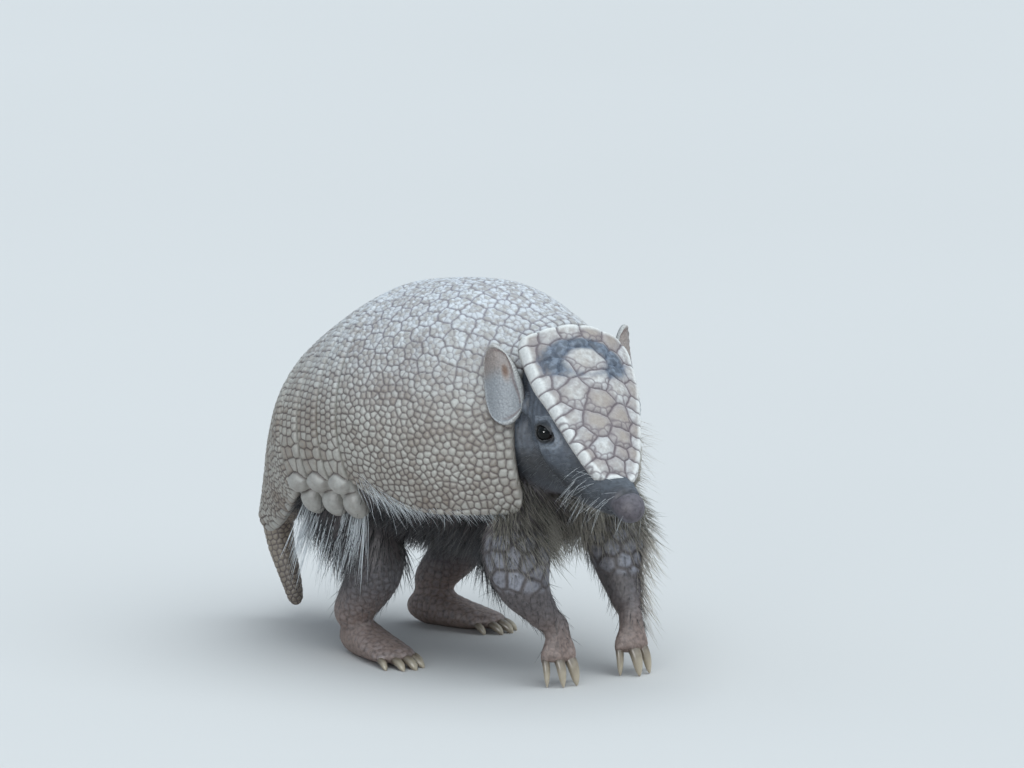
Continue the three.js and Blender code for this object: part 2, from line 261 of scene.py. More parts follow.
def in_head(points):
    """Places in the head's frame, as places of the animal."""
    return np.asarray(points, float) @ HEAD_AXES.T + HEAD_AT


def from_head(points):
    """Places of the animal, as places in the head's frame."""
    return (np.asarray(points, float) - HEAD_AT) @ HEAD_AXES


# ---------- meshes ----------


def numbers_of(items, key, size, kind=np.float32):
    """One row of numbers for each of a mesh's items."""
    flat = np.empty(len(items) * size, kind)
    items.foreach_get(key, flat)
    return flat.reshape(-1, size)


def corners_of(mesh):
    return numbers_of(mesh.vertices, "co", 3).astype(float)


def triangles_of(mesh):
    mesh.calc_loop_triangles()
    return numbers_of(mesh.loop_triangles, "vertices", 3, np.int32)


def set_corners(mesh, points):
    mesh.vertices.foreach_set("co", np.ascontiguousarray(points, np.float32).ravel())
    mesh.update()


def to_frame(points):
    """The animal's millimetres, as metres of the frame."""
    return (np.asarray(points, float) - (CENTRE_X, 0, 0)) * MM


def to_animal(points):
    return np.asarray(points, float) / MM + (CENTRE_X, 0, 0)


def turn_outwards(mesh):
    """Turns a closed mesh round whose faces point inwards, as its volume then comes out negative."""
    a, b, c = corners_of(mesh)[triangles_of(mesh)].transpose(1, 0, 2)
    if (a * np.cross(b, c)).sum() < 0:
        mesh.flip_normals()


def mark(mesh, **values):
    """Stores numbers on the vertices, for the materials to read."""
    for name, numbers in values.items():
        layer = mesh.attributes.get(name) or mesh.attributes.new(name, "FLOAT", "POINT")
        layer.data.foreach_set("value", np.ascontiguousarray(numbers, np.float32))


def linked(name, data):
    """A new object in the scene."""
    made = bpy.data.objects.new(name, data)
    bpy.context.scene.collection.objects.link(made)
    return made


def as_object(name, bm):
    mesh = bpy.data.meshes.new(name)
    bm.to_mesh(mesh)
    bm.free()
    return linked(name, mesh)


def shaped(name, bm, place):
    """An object from a plain shape, whose vertices place() moves to the animal's millimetres."""
    made = as_object(name, bm)
    points, marks = place(corners_of(made.data))
    set_corners(made.data, to_frame(points))
    mark(made.data, **marks)
    turn_outwards(made.data)
    made.data.shade_smooth()
    return made


def finished(piece, material, replaced=()):
    """Gives a piece its material and the body that it rides on, and hides the nodes that it stands for."""
    piece.data.materials.clear()
    piece.data.materials.append(material)
    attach(piece, "root")
    if replaced:
        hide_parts(*replaced)
    return piece


def slab(fine, coarse):
    """A flat closed slab from -1 to 1: a fine grid above, a coarse one below, and faces round the rim."""
    bm = bmesh.new()
    for (along, across), height in ((fine, 0), (coarse, -1)):
        made = bmesh.ops.create_grid(bm, x_segments=along, y_segments=across, size=1)
        bmesh.ops.translate(bm, verts=made["verts"], vec=(0, 0, height))
    bmesh.ops.bridge_loops(bm, edges=[edge for edge in bm.edges if edge.is_boundary])
    bmesh.ops.recalc_face_normals(bm, faces=bm.faces)
    return bm


def is_lining(plain):
    """Which points of a slab lie on its lower face."""
    return plain[:, 2] < -0.5


def ball(around, rings):
    bm = bmesh.new()
    bmesh.ops.create_uvsphere(bm, u_segments=around, v_segments=rings, radius=1)
    return bm


def round_axis(plain):
    """How far down its axis each point of a ball lies, from 0 to 1, and its turn round the axis."""
    return (1 - plain[:, 2]) / 2, np.arctan2(plain[:, 1], plain[:, 0])


def cells(points, seeds, near=4):
    """For each point: its nearest seeds, and how far off the border with each but the first is."""
    tree = kdtree.KDTree(len(seeds))
    for i, seed in enumerate(seeds):
        tree.insert(seed, i)
    tree.balance()
    found = [tree.find_n(p, near) for p in points]
    index = np.array([[hit[1] for hit in hits] for hits in found])
    far = np.array([[hit[2] for hit in hits] for hits in found])
    apart = np.linalg.norm(seeds[index[:, 1:]] - seeds[index[:, :1]], axis=2)
    border = (far[:, 1:] ** 2 - far[:, :1] ** 2) / (2 * np.maximum(apart, 1e-6))
    return index, border


# ---------- the shell ----------
SHOULDER_END = 0.5
# Corners of the plates: over how much of u they are rounded, and by how much of v.
FRONT_CORNER = {"over": 0.05, "by": 0.09}
REAR_CORNER = {"over": 0.16, "by": 0.1}
HIP_FRONT = {"over": 0.02, "by": 0.03}
HIP_REAR = {"over": 0.05, "by": 0.07}
BAND_LOBE = {"over": 0.45, "by": 0.048}  # over parts of the band's width
SCUTE_PITCH = 7.6
# Tubercles: how far from its border a dome rises, and how high it is.
BEAD = {"size": 1.4, "rise": 0.78}
BORDER_SCUTE = {"size": 1.7, "rise": 0.9}
BULB = {"size": 5.0, "rise": 3.6}
BULB_HALF = (5.2, 6.2, 6.2)  # half the size of the knobs at the bands' lower ends
MARGIN_SCUTE = {"size": 2.6, "rise": 1.2}
JITTER = np.array((0.006, 0.008))  # of u and v, for a jitter of 1
PETALS = (7, 9)  # at least so many round a rosette, and fewer than so many
FEWER_PETALS = 0.55  # past this v, some rosettes have one less
PETAL_REACH = 0.68  # how far from the middle they stand, as a part of the rosette's half
PETAL_SWAY = 0.16
FLANK = (0.3, 0.75)  # where v passes from the back to the flanks
FAR_OFF = 99  # stands for a border that isn't there
LINE_WIDTH = 1.2  # how far from its border a tubercle takes its full colour
INNER_LINE = 0.82  # how dark the lines inside a scute of the back are
OUTER_LINE = 1.25  # how wide the lines between the back's scutes are, beside those of the flanks
RIM_RADIUS = 1.5
GROOVE_WIDTH = 0.65
GROOVE_DEPTH = 0.2
BACK_RISE = 0.75  # how high the back's tubercles are beside those of the flanks
SUNK = 0.3  # how far the relief starts below the shell's outer surface
OWN_TONE = 0.6  # how much of its tone a tubercle has to itself, and not with its scute
LINING_MARKS = {"bead": 0.8, "tone": 0.3, "pale": 0.3}


def shell_skin(u, v):
    """Points of the shell's smooth outer surface; v runs from -1 at the right edge to 1 at the left."""
    back_x, back_z, edge_x, edge_z, half = column(SHELL, u).T
    turn = np.asarray(v) * MARGIN_TURN
    down = (1 - np.cos(turn)) / (1 - math.cos(MARGIN_TURN))
    x = back_x + (edge_x - back_x) * down
    z = back_z + (edge_z - back_z) * down
    return np.stack([x, half * np.sin(turn), z], -1)


def shell_out(u, v):
    """The outward directions there."""
    step = 1e-3
    along = shell_skin(u + step, v) - shell_skin(u - step, v)
    across = shell_skin(u, v + step) - shell_skin(u, v - step)
    return -unit(np.cross(along, across))


def rounded_off(corner, gap):
    """How much less far round a plate reaches, at a gap from its end."""
    return corner["by"] * (1 - quarter_round(gap / corner["over"]))


def shoulder_reach(u):
    return 1 - rounded_off(FRONT_CORNER, u) - rounded_off(REAR_CORNER, SHOULDER_END - u)


def band_reach(start, end):
    """How far round a band reaches: its lower ends are lobes."""

    def reach(u):
        return BAND_END - rounded_off(BAND_LOBE, np.minimum(u - start, end - u) / (end - start))

    return reach


def hip_reach(u):
    return 1 - rounded_off(HIP_FRONT, u - HIP_START) - rounded_off(HIP_REAR, 1 - u)


def one(value):
    """A single number, as an array."""
    return np.array([value], float)


def evenly(values, line, spacing, phase=0.5):
    """Values at an even spacing along a line of points, and the line's length."""
    arc = np.append(0, np.cumsum(np.linalg.norm(np.diff(line, axis=0), axis=1)))
    count = max(round(arc[-1] / spacing), 1)
    stops = (np.arange(count) + phase) * arc[-1] / count
    return np.interp(stops, arc, values), arc[-1]


def around_shell(u, reach, spacing, phase=0.5):
    """Values of v at an even spacing round a section, and how much v changes in a millimetre."""
    v = np.linspace(-reach, reach, 241)
    stops, length = evenly(v, shell_skin(np.full(len(v), u), v), spacing, phase)
    return stops, 2 * reach / length


def millimetres(u0, v0, u1, v1):
    """How far apart two places of the shell are."""
    return np.linalg.norm(shell_skin(u0, v0) - shell_skin(u1, v1), axis=-1)


class Pebbles:
    """The tubercles of a plate, each with the scute that it belongs to and the width and rise of its dome."""

    def __init__(self, start, end, reach):
        self.start, self.end, self.reach = start, end, reach
        self.rng = np.random.default_rng(SEED)
        self.rows = []
        self.scute = 0

    def reach_at(self, u):
        return float(self.reach(one(u))[0])

    def add(self, u, v, kind, jitter):
        shift = self.rng.normal(0, 1, 2) * jitter * JITTER
        self.rows.append((u + shift[0], v + shift[1], self.scute, kind["size"], kind["rise"]))

    def rosette(self, u, v, half_u, half_v):
        """A tubercle with others round it."""
        self.scute += 1
        petals = self.rng.integers(*PETALS) - (abs(v) > FEWER_PETALS) * self.rng.integers(0, 2)
        start = self.rng.uniform(0, math.tau)
        self.add(u, v, BEAD, 0.15 + 0.3 * abs(v))
        for k in range(petals):
            turn = start + (k + self.rng.uniform(-PETAL_SWAY, PETAL_SWAY)) * math.tau / petals
            petal_u = u + PETAL_REACH * half_u * math.cos(turn)
            petal_v = v + PETAL_REACH * half_v * math.sin(turn)
            self.add(petal_u, petal_v, BEAD, 0.2 + 0.2 * v * v)

    def rosettes(self, first, last, rows, plain_rows=0):
        """Rows of rosettes from u first to last; the plain rows at the end stand in line."""
        half_u = (last - first) / rows / 2
        for row in range(rows):
            u = first + (2 * row + 1) * half_u
            staggered = row < rows - plain_rows and row % 2
            stops, per_mm = around_shell(u, self.reach_at(u), SCUTE_PITCH, 1.0 if staggered else 0.5)
            for v in stops:
                self.rosette(u, v, half_u, SCUTE_PITCH / 2 * per_mm)

    def clear(self, inside):
        """Drops the tubercles whose u and v inside() picks."""
        table = np.array(self.rows)
        keep = ~inside(table[:, 0], table[:, 1])
        self.rows = [row for row, kept in zip(self.rows, keep) if kept]

    def along_margin(self, first, inward, spacing, kind):
        """A row of scutes along both lower edges, from u first to the plate's end."""
        u = np.linspace(first, self.end, 61)
        for _, side in SIDES:
            stops, _ = evenly(u, shell_skin(u, side * self.reach(u)), spacing)
            for here in stops:
                reach = self.reach_at(here)
                _, per_mm = around_shell(here, reach, SCUTE_PITCH)
                self.scute += 1
                self.add(here, side * (reach - inward * per_mm), kind, 0.3)

    def across_front(self, inward, spacing, kind, phase):
        """A column of scutes beside the front edge."""
        step, beside = 0.02, one(0.4)
        per_mm = step / millimetres(one(0), beside, one(step), beside)[0]
        u = inward * per_mm
        stops, _ = around_shell(u, self.reach_at(u), spacing, phase)
        for v in stops:
            self.scute += 1
            self.add(u, v, kind, 0.15)

    def relief(self, points):
        """Height over the smooth surface and the marks for the material at each point."""
        table = np.array(self.rows)
        seeds = shell_skin(table[:, 0], table[:, 1])
        own_v, scute, size, rise = table[:, 1:].T
        low = smooth(abs(own_v), *FLANK)
        for _ in range(2):
            seeds = evened(seeds, points, low * (size <= BORDER_SCUTE["size"]))
        index, border = cells(points, seeds)
        own = index[:, 0]
        other = scute[index[:, 1:]] != scute[own][:, None]
        apart = np.where(other, border, FAR_OFF).min(axis=1)
        within = np.where(other, FAR_OFF, border).min(axis=1)
        dome = quarter_round(np.minimum(apart, within) / size[own])
        away = np.linalg.norm((points - seeds[own]) / BULB_HALF, axis=1)
        bulb = np.sqrt(np.clip(1 - away**2, 0, 1))
        dome = np.where(size[own] == BULB["size"], np.minimum(dome, bulb), dome)
        low = low[own]
        groove = GROOVE_DEPTH * (1 - smooth(apart, 0, GROOVE_WIDTH))
        height = rise[own] * dome * (BACK_RISE + (1 - BACK_RISE) * low) - groove - SUNK
        inner_line = (1 - np.clip(within / LINE_WIDTH, 0, 1)) * (INNER_LINE + (1 - INNER_LINE) * low)
        outer_width = LINE_WIDTH * (OUTER_LINE + (1 - OUTER_LINE) * low)
        bead = np.minimum(1 - inner_line, np.clip(apart / outer_width, 0, 1))
        own_tone = self.rng.random(len(seeds))[own]
        scute_tone = self.rng.random(self.scute + 1)[scute[own].astype(int)]
        tone = own_tone * OWN_TONE + scute_tone * (1 - OWN_TONE)
        return height, {"bead": bead, "tone": tone, "pale": smooth(size[own], 1.2, 3.5)}


def evened(seeds, points, strength):
    """Moves each seed toward the middle of the points that are nearest to it, if there are enough of them."""
    own = cells(points, seeds, 2)[0][:, 0]
    count = np.bincount(own, minlength=len(seeds))
    middle = np.stack([np.bincount(own, points[:, k], len(seeds)) for k in range(3)], -1)
    middle = middle / np.maximum(count, 1)[:, None]
    return seeds + (middle - seeds) * (0.8 * strength * (count > 3))[:, None]


def margin_gap(u, v, reach):
    """Millimetres to the lower edge."""
    return millimetres(u, v, u, np.sign(v) * reach(u))


def shoulder_pebbles():
    pebbles = Pebbles(0, SHOULDER_END, shoulder_reach)
    pebbles.rosettes(first=0.045, last=SHOULDER_END, rows=9, plain_rows=2)
    pebbles.clear(lambda u, v: (millimetres(u, v, 0 * u, v) < 6.9) | (margin_gap(u, v, shoulder_reach) < 3.4))
    pebbles.across_front(inward=2.1, spacing=3.9, kind=BORDER_SCUTE, phase=0.5)
    pebbles.across_front(inward=5.4, spacing=3.4, kind=BEAD, phase=0.9)
    pebbles.along_margin(first=0.05, inward=1.9, spacing=3.5, kind=BEAD)
    return pebbles


BAND_ROWS = 4  # rows of tubercles along a band
BAND_SPACING = 2.5  # millimetres between those of a row
BAND_CLEAR = 32  # millimetres at a band's lower end without such rows
BAND_SCUTES = (26.8, 30.1)  # how far from the lower end two rows of larger scutes are
BAND_BULBS = ((6.6, -0.08), (19.2, 0.05))  # the knobs: how far from the lower end, and how far off the middle


def band_pebbles(start, end):
    """Short rows of tubercles, larger scutes below them and two knobs at each lower end."""
    reach = band_reach(start, end)
    pebbles = Pebbles(start, end, reach)
    width = end - start
    middle = (start + end) / 2
    stops, per_mm = around_shell(middle, BAND_END, SCUTE_PITCH)
    for v in stops:
        pebbles.scute += 1
        for row in range(BAND_ROWS):
            shift = 0.55 * (row % 2) - 0.3
            for place in (-1, 0, 1):
                across = v + BAND_SPACING * (place + shift) * per_mm
                pebbles.add(start + width * (row + 0.5) / BAND_ROWS, across, BEAD, 0.3)
    pebbles.clear(lambda u, v: margin_gap(u, v, reach) < BAND_CLEAR)
    for _, side in SIDES:
        for row, inward in enumerate(BAND_SCUTES):
            for place in range(3):
                pebbles.scute += 1
                along = start + width * (place + 0.4 + 0.2 * row) / 3
                pebbles.add(along, side * (BAND_END - inward * per_mm), BORDER_SCUTE, 0.2)
        for inward, shift in BAND_BULBS:
            pebbles.scute += 1
            pebbles.add(middle + shift * width, side * (BAND_END - inward * per_mm), BULB, 0.3)
    return pebbles


def hip_pebbles():
    pebbles = Pebbles(HIP_START, 1, hip_reach)
    pebbles.rosettes(first=HIP_START, last=1, rows=10)
    pebbles.clear(lambda u, v: margin_gap(u, v, hip_reach) < 5.4)
    pebbles.along_margin(first=HIP_START, inward=3.0, spacing=8.0, kind=MARGIN_SCUTE)
    return pebbles


def shell_plate(name, pebbles, fine, coarse):
    """A plate of the shell: a relief of tubercles above, a plain lining below and a rounded rim."""
    start, end, reach = pebbles.start, pebbles.end, pebbles.reach

    def place(plain):
        u = start + (end - start) * (plain[:, 0] + 1) / 2
        v = plain[:, 1] * reach(u)
        base, out = shell_skin(u, v), shell_out(u, v)
        above = ~is_lining(plain)
        height, relief_marks = pebbles.relief(base[above])
        ends = np.minimum(millimetres(u, v, start + 0 * u, v), millimetres(u, v, end + 0 * u, v))
        rim = np.minimum(ends, margin_gap(u, v, reach))[above]
        depth = np.full(len(u), PLATE_THICK)
        depth[above] = RIM_RADIUS * (1 - quarter_round(rim / RIM_RADIUS)) - height
        marks = {key: np.full(len(u), lining) for key, lining in LINING_MARKS.items()}
        for key, numbers in relief_marks.items():
            marks[key][above] = numbers
        return base - out * depth[:, None], marks

    return shaped(name, slab(fine, coarse), place)


# ---------- the head shield ----------
SHIELD_ARCH = 2.2
SHIELD_CAMBER = 6.8
# Its scutes, rear to front: x and y, and how much farther than a small one each reaches.
SHIELD_SCUTES = (
    (3.6, -19.5, 2.5),
    (4.2, -12.4, 2.4),
    (3.2, -4.6, 2.6),
    (3.4, 5.0, 2.6),
    (5.2, 13.6, 2.4),
    (9.8, 19.2, 1.8),
    (11.0, -21.0, 2.2),
    (12.0, -15.6, 1.6),
    (10.4, -9.4, 1.6),
    (9.4, -2.0, 1.6),
    (10.4, 6.6, 1.8),
    (14.2, 12.6, 1.6),
    (16.8, -1.4, 5.4),
    (19.4, -20.4, 1.8),
    (18.8, -15.0, 1.6),
    (20.6, -9.8, 1.4),
    (18.2, 19.4, 1.8),
    (21.4, 13.2, 1.6),
    (25.4, 1.2, 3.6),
    (26.0, -18.8, 1.8),
    (26.4, -13.8, 1.2),
    (26.4, 18.0, 1.8),
    (29.6, 9.6, 3.4),
    (32.6, -9.4, 4.0),
    (33.0, -17.4, 1.8),
    (34.6, 16.4, 1.6),
    (36.4, -0.4, 4.0),
    (38.6, -15.4, 1.6),
    (40.4, 14.6, 1.6),
    (42.6, 7.2, 3.2),
    (44.2, -12.8, 2.6),
    (46.4, -4.0, 3.4),
    (47.0, 13.6, 1.4),
    (49.6, -14.2, 1.2),
    (51.4, -9.4, 2.8),
    (52.2, 5.4, 2.8),
    (53.2, 12.0, 1.4),
    (55.4, -12.4, 1.0),
    (57.2, -3.6, 3.2),
    (58.6, 3.8, 1.6),
    (58.2, 9.6, 1.8),
    (59.8, -9.6, 1.6),
    (65.2, -6.6, 2.8),
    (64.6, 0.6, 2.8),
    (65.0, 7.2, 2.6),
    (69.8, -1.0, 2.0),
)
SHIELD_LARGE = 2.6  # scutes that reach at least this far carry smaller domes along their front
KNOB = {"back": 0.3, "reach": 0.85}  # the large dome of such a scute, as parts of the scute's reach
SMALL_KNOBS = {"away": 1.12, "per_mm": 1.15, "lean": 35, "half_turn": 80}  # the domes in front of it
SHIELD_WAVE = 0.16  # how far the scutes' borders wave
SHIELD_RISE = {"scute": 1.2, "knob": 0.4, "rim": 0.5, "sunk": 1.05}
SHIELD_REAR = 3  # how far forward the rear corners lie
SHIELD_EDGE = 1.9  # the radius of its edge
SHIELD_RIM = 3.2
CRESCENT = {"x": 17.6, "y": -1.2, "long": 13.2, "short": 8.2, "width": 0.44}


def shield_knobs():
    """Domes inside the scutes: x, y, reach and scute."""
    rng = np.random.default_rng(SEED + 8)
    knobs = []
    for i, (x, y, reach) in enumerate(SHIELD_SCUTES):
        if reach < SHIELD_LARGE:
            knobs.append((x, y, 0.0, i))
            continue
        knobs.append((x - KNOB["back"] * reach, y, KNOB["reach"] * reach, i))
        away = SMALL_KNOBS["away"] * reach
        count = max(3, round(SMALL_KNOBS["per_mm"] * reach))
        first = rng.uniform(-SMALL_KNOBS["lean"], SMALL_KNOBS["lean"]) - SMALL_KNOBS["half_turn"]
        for k in range(count):
            turn = math.radians(first + 2 * SMALL_KNOBS["half_turn"] * (k + rng.uniform(0.3, 0.7)) / count)
            knobs.append((x + away * math.cos(turn), y + away * math.sin(turn), 0.0, i))
    return np.array(knobs)


def gaps_to(discs, x, y):
    """How far each place is from the edge of each disc, given by x, y and reach."""
    return np.hypot(x[:, None] - discs[:, 0], y[:, None] - discs[:, 1]) - discs[:, 2]


def border_of(gaps):
    """How far each place is from the border between its nearest disc and the next."""
    nearest = np.sort(gaps, axis=1)
    return (nearest[:, 1] - nearest[:, 0]) / 2


def shield_relief(x, y, edge):
    """Height over the shield's smooth surface and the marks for the material at each place."""
    scutes, knobs = np.array(SHIELD_SCUTES), shield_knobs()
    wave_x = SHIELD_WAVE * np.sin(y * 1.3 + x * 0.4)
    wave_y = SHIELD_WAVE * np.sin(x * 1.1 - y * 0.5)
    gaps = gaps_to(scutes, x + wave_x, y + wave_y)
    own = gaps.argmin(axis=1)
    border = border_of(gaps)
    inside = knobs[:, 3] == own[:, None]
    between = border_of(np.where(inside, gaps_to(knobs, x + wave_x, y + wave_y), FAR_OFF))
    scute = SHIELD_RISE["scute"] * quarter_round(border / 3)
    knob = SHIELD_RISE["knob"] * quarter_round(between / 1.5) * quarter_round(border / 3)
    rim = 1 - smooth(edge, 1.2, SHIELD_RIM)
    height = scute + knob + SHIELD_RISE["rim"] * rim - SHIELD_RISE["sunk"]
    groove = 1 - smooth(border, 0.05, 0.6)
    fold = (1 - smooth(between, 0, 0.5)) * 0.8
    ring = np.hypot((x - CRESCENT["x"]) / CRESCENT["short"], (y - CRESCENT["y"]) / CRESCENT["long"])
    stain = hump(ring, 1, CRESCENT["width"]) * (1 - rim) * smooth(30 - x, 0, 11)
    tone = np.random.default_rng(SEED).random(len(scutes))[own]
    marks = {"bead": np.clip(border / 3, 0, 1), "groove": np.maximum(groove, fold), "tone": tone}
    return height, {**marks, "pale": rim, "stain": stain}


def head_shield():
    def place(plain):
        t = (plain[:, 0] + 1) / 2
        part = plain[:, 1]
        half = column(SHIELD_HALF, t)[:, 0]
        y = part * half
        x = t * SHIELD_LENGTH + SHIELD_REAR * part**2 * (1 - t) ** 4
        z = -SHIELD_ARCH * (2 * t - 1) ** 2 - SHIELD_CAMBER * (y / SHIELD_HALF[0][1]) ** 2
        edge = np.minimum(half - abs(y), np.minimum(t, 1 - t) * SHIELD_LENGTH)
        height, marks = shield_relief(x, y, edge)
        rounding = SHIELD_EDGE * (1 - quarter_round(edge / SHIELD_EDGE))
        z = z + np.where(is_lining(plain), -SHIELD_THICK, height - rounding)
        return in_head(np.stack([x, y, z], -1)), marks

    return shaped("head_shield_scutes", slab((236, 150), (30, 18)), place)


# ---------- flesh ----------
COAT_DEPTH = 0.4
SKIN_VOXEL = 1.42
FLOOR_GAP = 0.05  # the feet end just over the floor
TRUNK = {"first": 0.035, "span": 0.925, "cap": 0.22, "under": 1.5, "roof": 0.88, "roof_share": 0.7}
TOE_THICK = (1.5, 1.45, 1.15)  # beside its claw, from the foot to the claw's root
TOE_PAST = 0.28  # how far along its claw a toe ends


def limb(t, around, rows, cap, side=(0, 1, 0), shrink=COAT_DEPTH):
    """Points on a round-ended body over rows along a spine, and the directions out of it."""
    last = len(rows) - 1
    # A row without a height above or below takes its last measure for it.
    rows = [(i / last, *row[:4], *(row[4:] + row[-1:] * 2)[:2]) for i, row in enumerate(rows)]
    stations = column(rows, t)
    tangent = unit(column(rows, t + 0.01)[:, :3] - column(rows, t - 0.01)[:, :3])
    across = across_to(tangent, np.broadcast_to(np.asarray(side, float), tangent.shape))
    over = unit(np.cross(tangent, across))
    ring = np.minimum(quarter_round(t / cap), quarter_round((1 - t) / cap))
    tall = np.where(np.sin(around) > 0, stations[:, 4], stations[:, 5])
    wide = np.cos(around) * ring * np.maximum(stations[:, 3] - shrink, 0.4)
    high = np.sin(around) * ring * np.maximum(tall - shrink, 0.4)
    ends = tangent * (shrink * (1 - 2 * t))[:, None]
    out = across * wide[:, None] + over * high[:, None]
    return stations[:, :3] + ends + out, unit(out + 1e-6)


def limb_piece(name, rows, cap=0.16, side=(0, 1, 0), around=40, rings=48, shrink=COAT_DEPTH):
    def place(plain):
        points, _ = limb(*round_axis(plain), rows, cap, side, shrink)
        return points, {}

    return shaped(name, ball(around, rings), place)


def trunk_piece():
    """The trunk fills the shell and closes below in the belly."""
    roof, roof_share = TRUNK["roof"], TRUNK["roof_share"]

    def place(plain):
        polar = np.arccos(np.clip(plain[:, 2], -1, 1)) / math.pi
        u = TRUNK["first"] + TRUNK["span"] * polar
        ring = np.minimum(quarter_round(polar / TRUNK["cap"]), quarter_round((1 - polar) / TRUNK["cap"]))
        around = np.arctan2(plain[:, 0], plain[:, 1]) / math.pi

        def inner(v):
            return shell_skin(u, v) - shell_out(u, v) * (PLATE_THICK + TRUNK["under"])

        edge, top = inner(roof + 0 * u), inner(0 * u)
        centre = np.stack([(top[:, 0] + edge[:, 0]) / 2, 0 * u, edge[:, 2] * 0.6 + top[:, 2] * 0.4], -1)
        turn = np.clip((abs(around) - roof_share) / (1 - roof_share), 0, 1) * math.pi / 2
        bottom = np.minimum(BELLY + 0.6, edge[:, 2] - 4)
        low_y = np.where(around < 0, -1, 1) * edge[:, 1] * np.cos(turn)
        low_z = edge[:, 2] + (bottom - edge[:, 2]) * np.sin(turn)
        low = np.stack([edge[:, 0], low_y, low_z], -1)
        wall = np.where((abs(around) < roof_share)[:, None], inner(around / roof_share * roof), low)
        return centre + (wall - centre) * ring[:, None], {}

    return shaped("trunk_flesh", ball(96, 64), place)


def on_foot(foot, point):
    """A place of a foot's own frame, as a place of the animal; what follows its x and y stays."""
    turn = math.radians(foot["turn"])
    x, y = point[0], point[1] * foot["outer"]
    foot_x, foot_y = foot["at"]
    animal_x = foot_x + x * math.cos(turn) - y * math.sin(turn)
    animal_y = foot_y + x * math.sin(turn) + y * math.cos(turn)
    return (animal_x, animal_y, *point[2:])


def between(start, end, share):
    """The place a share of the way from start to end."""
    return [a + (b - a) * share for a, b in zip(start, end)]


def toe_pieces(name, foot):
    """Toes from the foot to the roots of its claws."""
    fore = foot["rows"] is FOREFOOT_ROWS
    for i, (root, tip, thick) in enumerate(foot["claws"]):
        lead = (0.2, root[1] * 0.5, 19) if fore else (root[0] - 10, root[1] * 0.75, 5.2)
        places = (lead, root, between(root, tip, TOE_PAST))
        rows = [on_foot(foot, (*place, thick * part)) for place, part in zip(places, TOE_THICK)]
        yield limb_piece(f"{name}_toe_{i}", rows, 0.3, around=14, rings=14, shrink=0)


def ear_root_piece(name, ear):
    """The stalk from the head into the lower part of an ear's back."""
    lobe, tip, end = (in_head(ear[key]) for key in ("lobe", "tip", "root"))
    start = lobe + (tip - lobe) * 0.2
    start = start + (end - start) * 0.22
    rows = ((*start, 1.4, 1.8), (*((start + end) / 2), 2.6, 3.4), (*end, 4.4, 5.4))
    return limb_piece(f"ear_root_{name}", rows, 0.3, shrink=0)


def flesh_pieces():
    head_rows = [(*in_head(row[:3]), *row[3:]) for row in HEAD_ROWS]
    yield limb_piece("head_flesh", head_rows, 0.09, HEAD_AXES[:, 1], around=72, rings=90)
    yield limb_piece("neck_flesh", NECK_ROWS, 0.3, around=60, rings=40, shrink=1.5)
    yield limb_piece("chest_flesh", CHEST_ROWS, 0.35, around=60, rings=40)
    yield trunk_piece()
    for name, rows in LEGS.items():
        yield limb_piece(name + "_flesh", rows)
    for name, foot in FEET.items():
        yield limb_piece(name + "_flesh", [on_foot(foot, row) for row in foot["rows"]], 0.3)
        yield from toe_pieces(name, foot)
    for name, ear in EARS.items():
        yield ear_root_piece(name, ear)


def remeshed(name, parts, voxel):
    """One closed mesh round all the parts."""
    bm = bmesh.new()
    for part in parts:
        bm.from_mesh(part.data)
        bpy.data.objects.remove(part)
    whole = as_object(name, bm)
    remesh = whole.modifiers.new("Remesh", "REMESH")
    remesh.mode = "VOXEL"
    remesh.voxel_size = voxel * MM
    evaluated = whole.evaluated_get(bpy.context.evaluated_depsgraph_get())
    mesh = bpy.data.meshes.new_from_object(evaluated)
    whole.modifiers.clear()
    whole.data = mesh
    return whole


def refine(bm, picked):
    """Halves the mesh size where picked() holds for the vertices' places."""
    bm.verts.ensure_lookup_table()
    chosen = picked(to_animal(np.array([v.co for v in bm.verts])))
    edges = [e for e in bm.edges if chosen[e.verts[0].index] and chosen[e.verts[1].index]]
    bmesh.ops.subdivide_edges(bm, edges=edges, cuts=1, use_grid_fill=True, smooth=0)
    bm.verts.index_update()


def eye_axes(side):
    """The eye's centre and the directions out of it, along its opening and across, in the head's frame."""
    centre = np.array([EYE["x"], side * EYE["y"], EYE["z"]])
    out = unit(np.array([0.32, side * 0.88, 0.36]))
    along = across_to(out, np.array([0.85, 0.0, 0.5]))
    return centre, out, along, np.cross(out, along)


EYE_OPENING = (3.8, 2.6)  # half its length and height
LID_RISE = 0.75
# Round the opening, in parts of its size from the eye's middle.
LID_ROLL = (1.3, 0.28)  # its middle and width
FOLD_WAVE = 0.62
FOLDS_END = 3.4
LID_MARK = (2.3, 0.5)  # its middle and width
SOCKET = (1.25, 1.95)  # where its painted shade begins to fade and where it ends
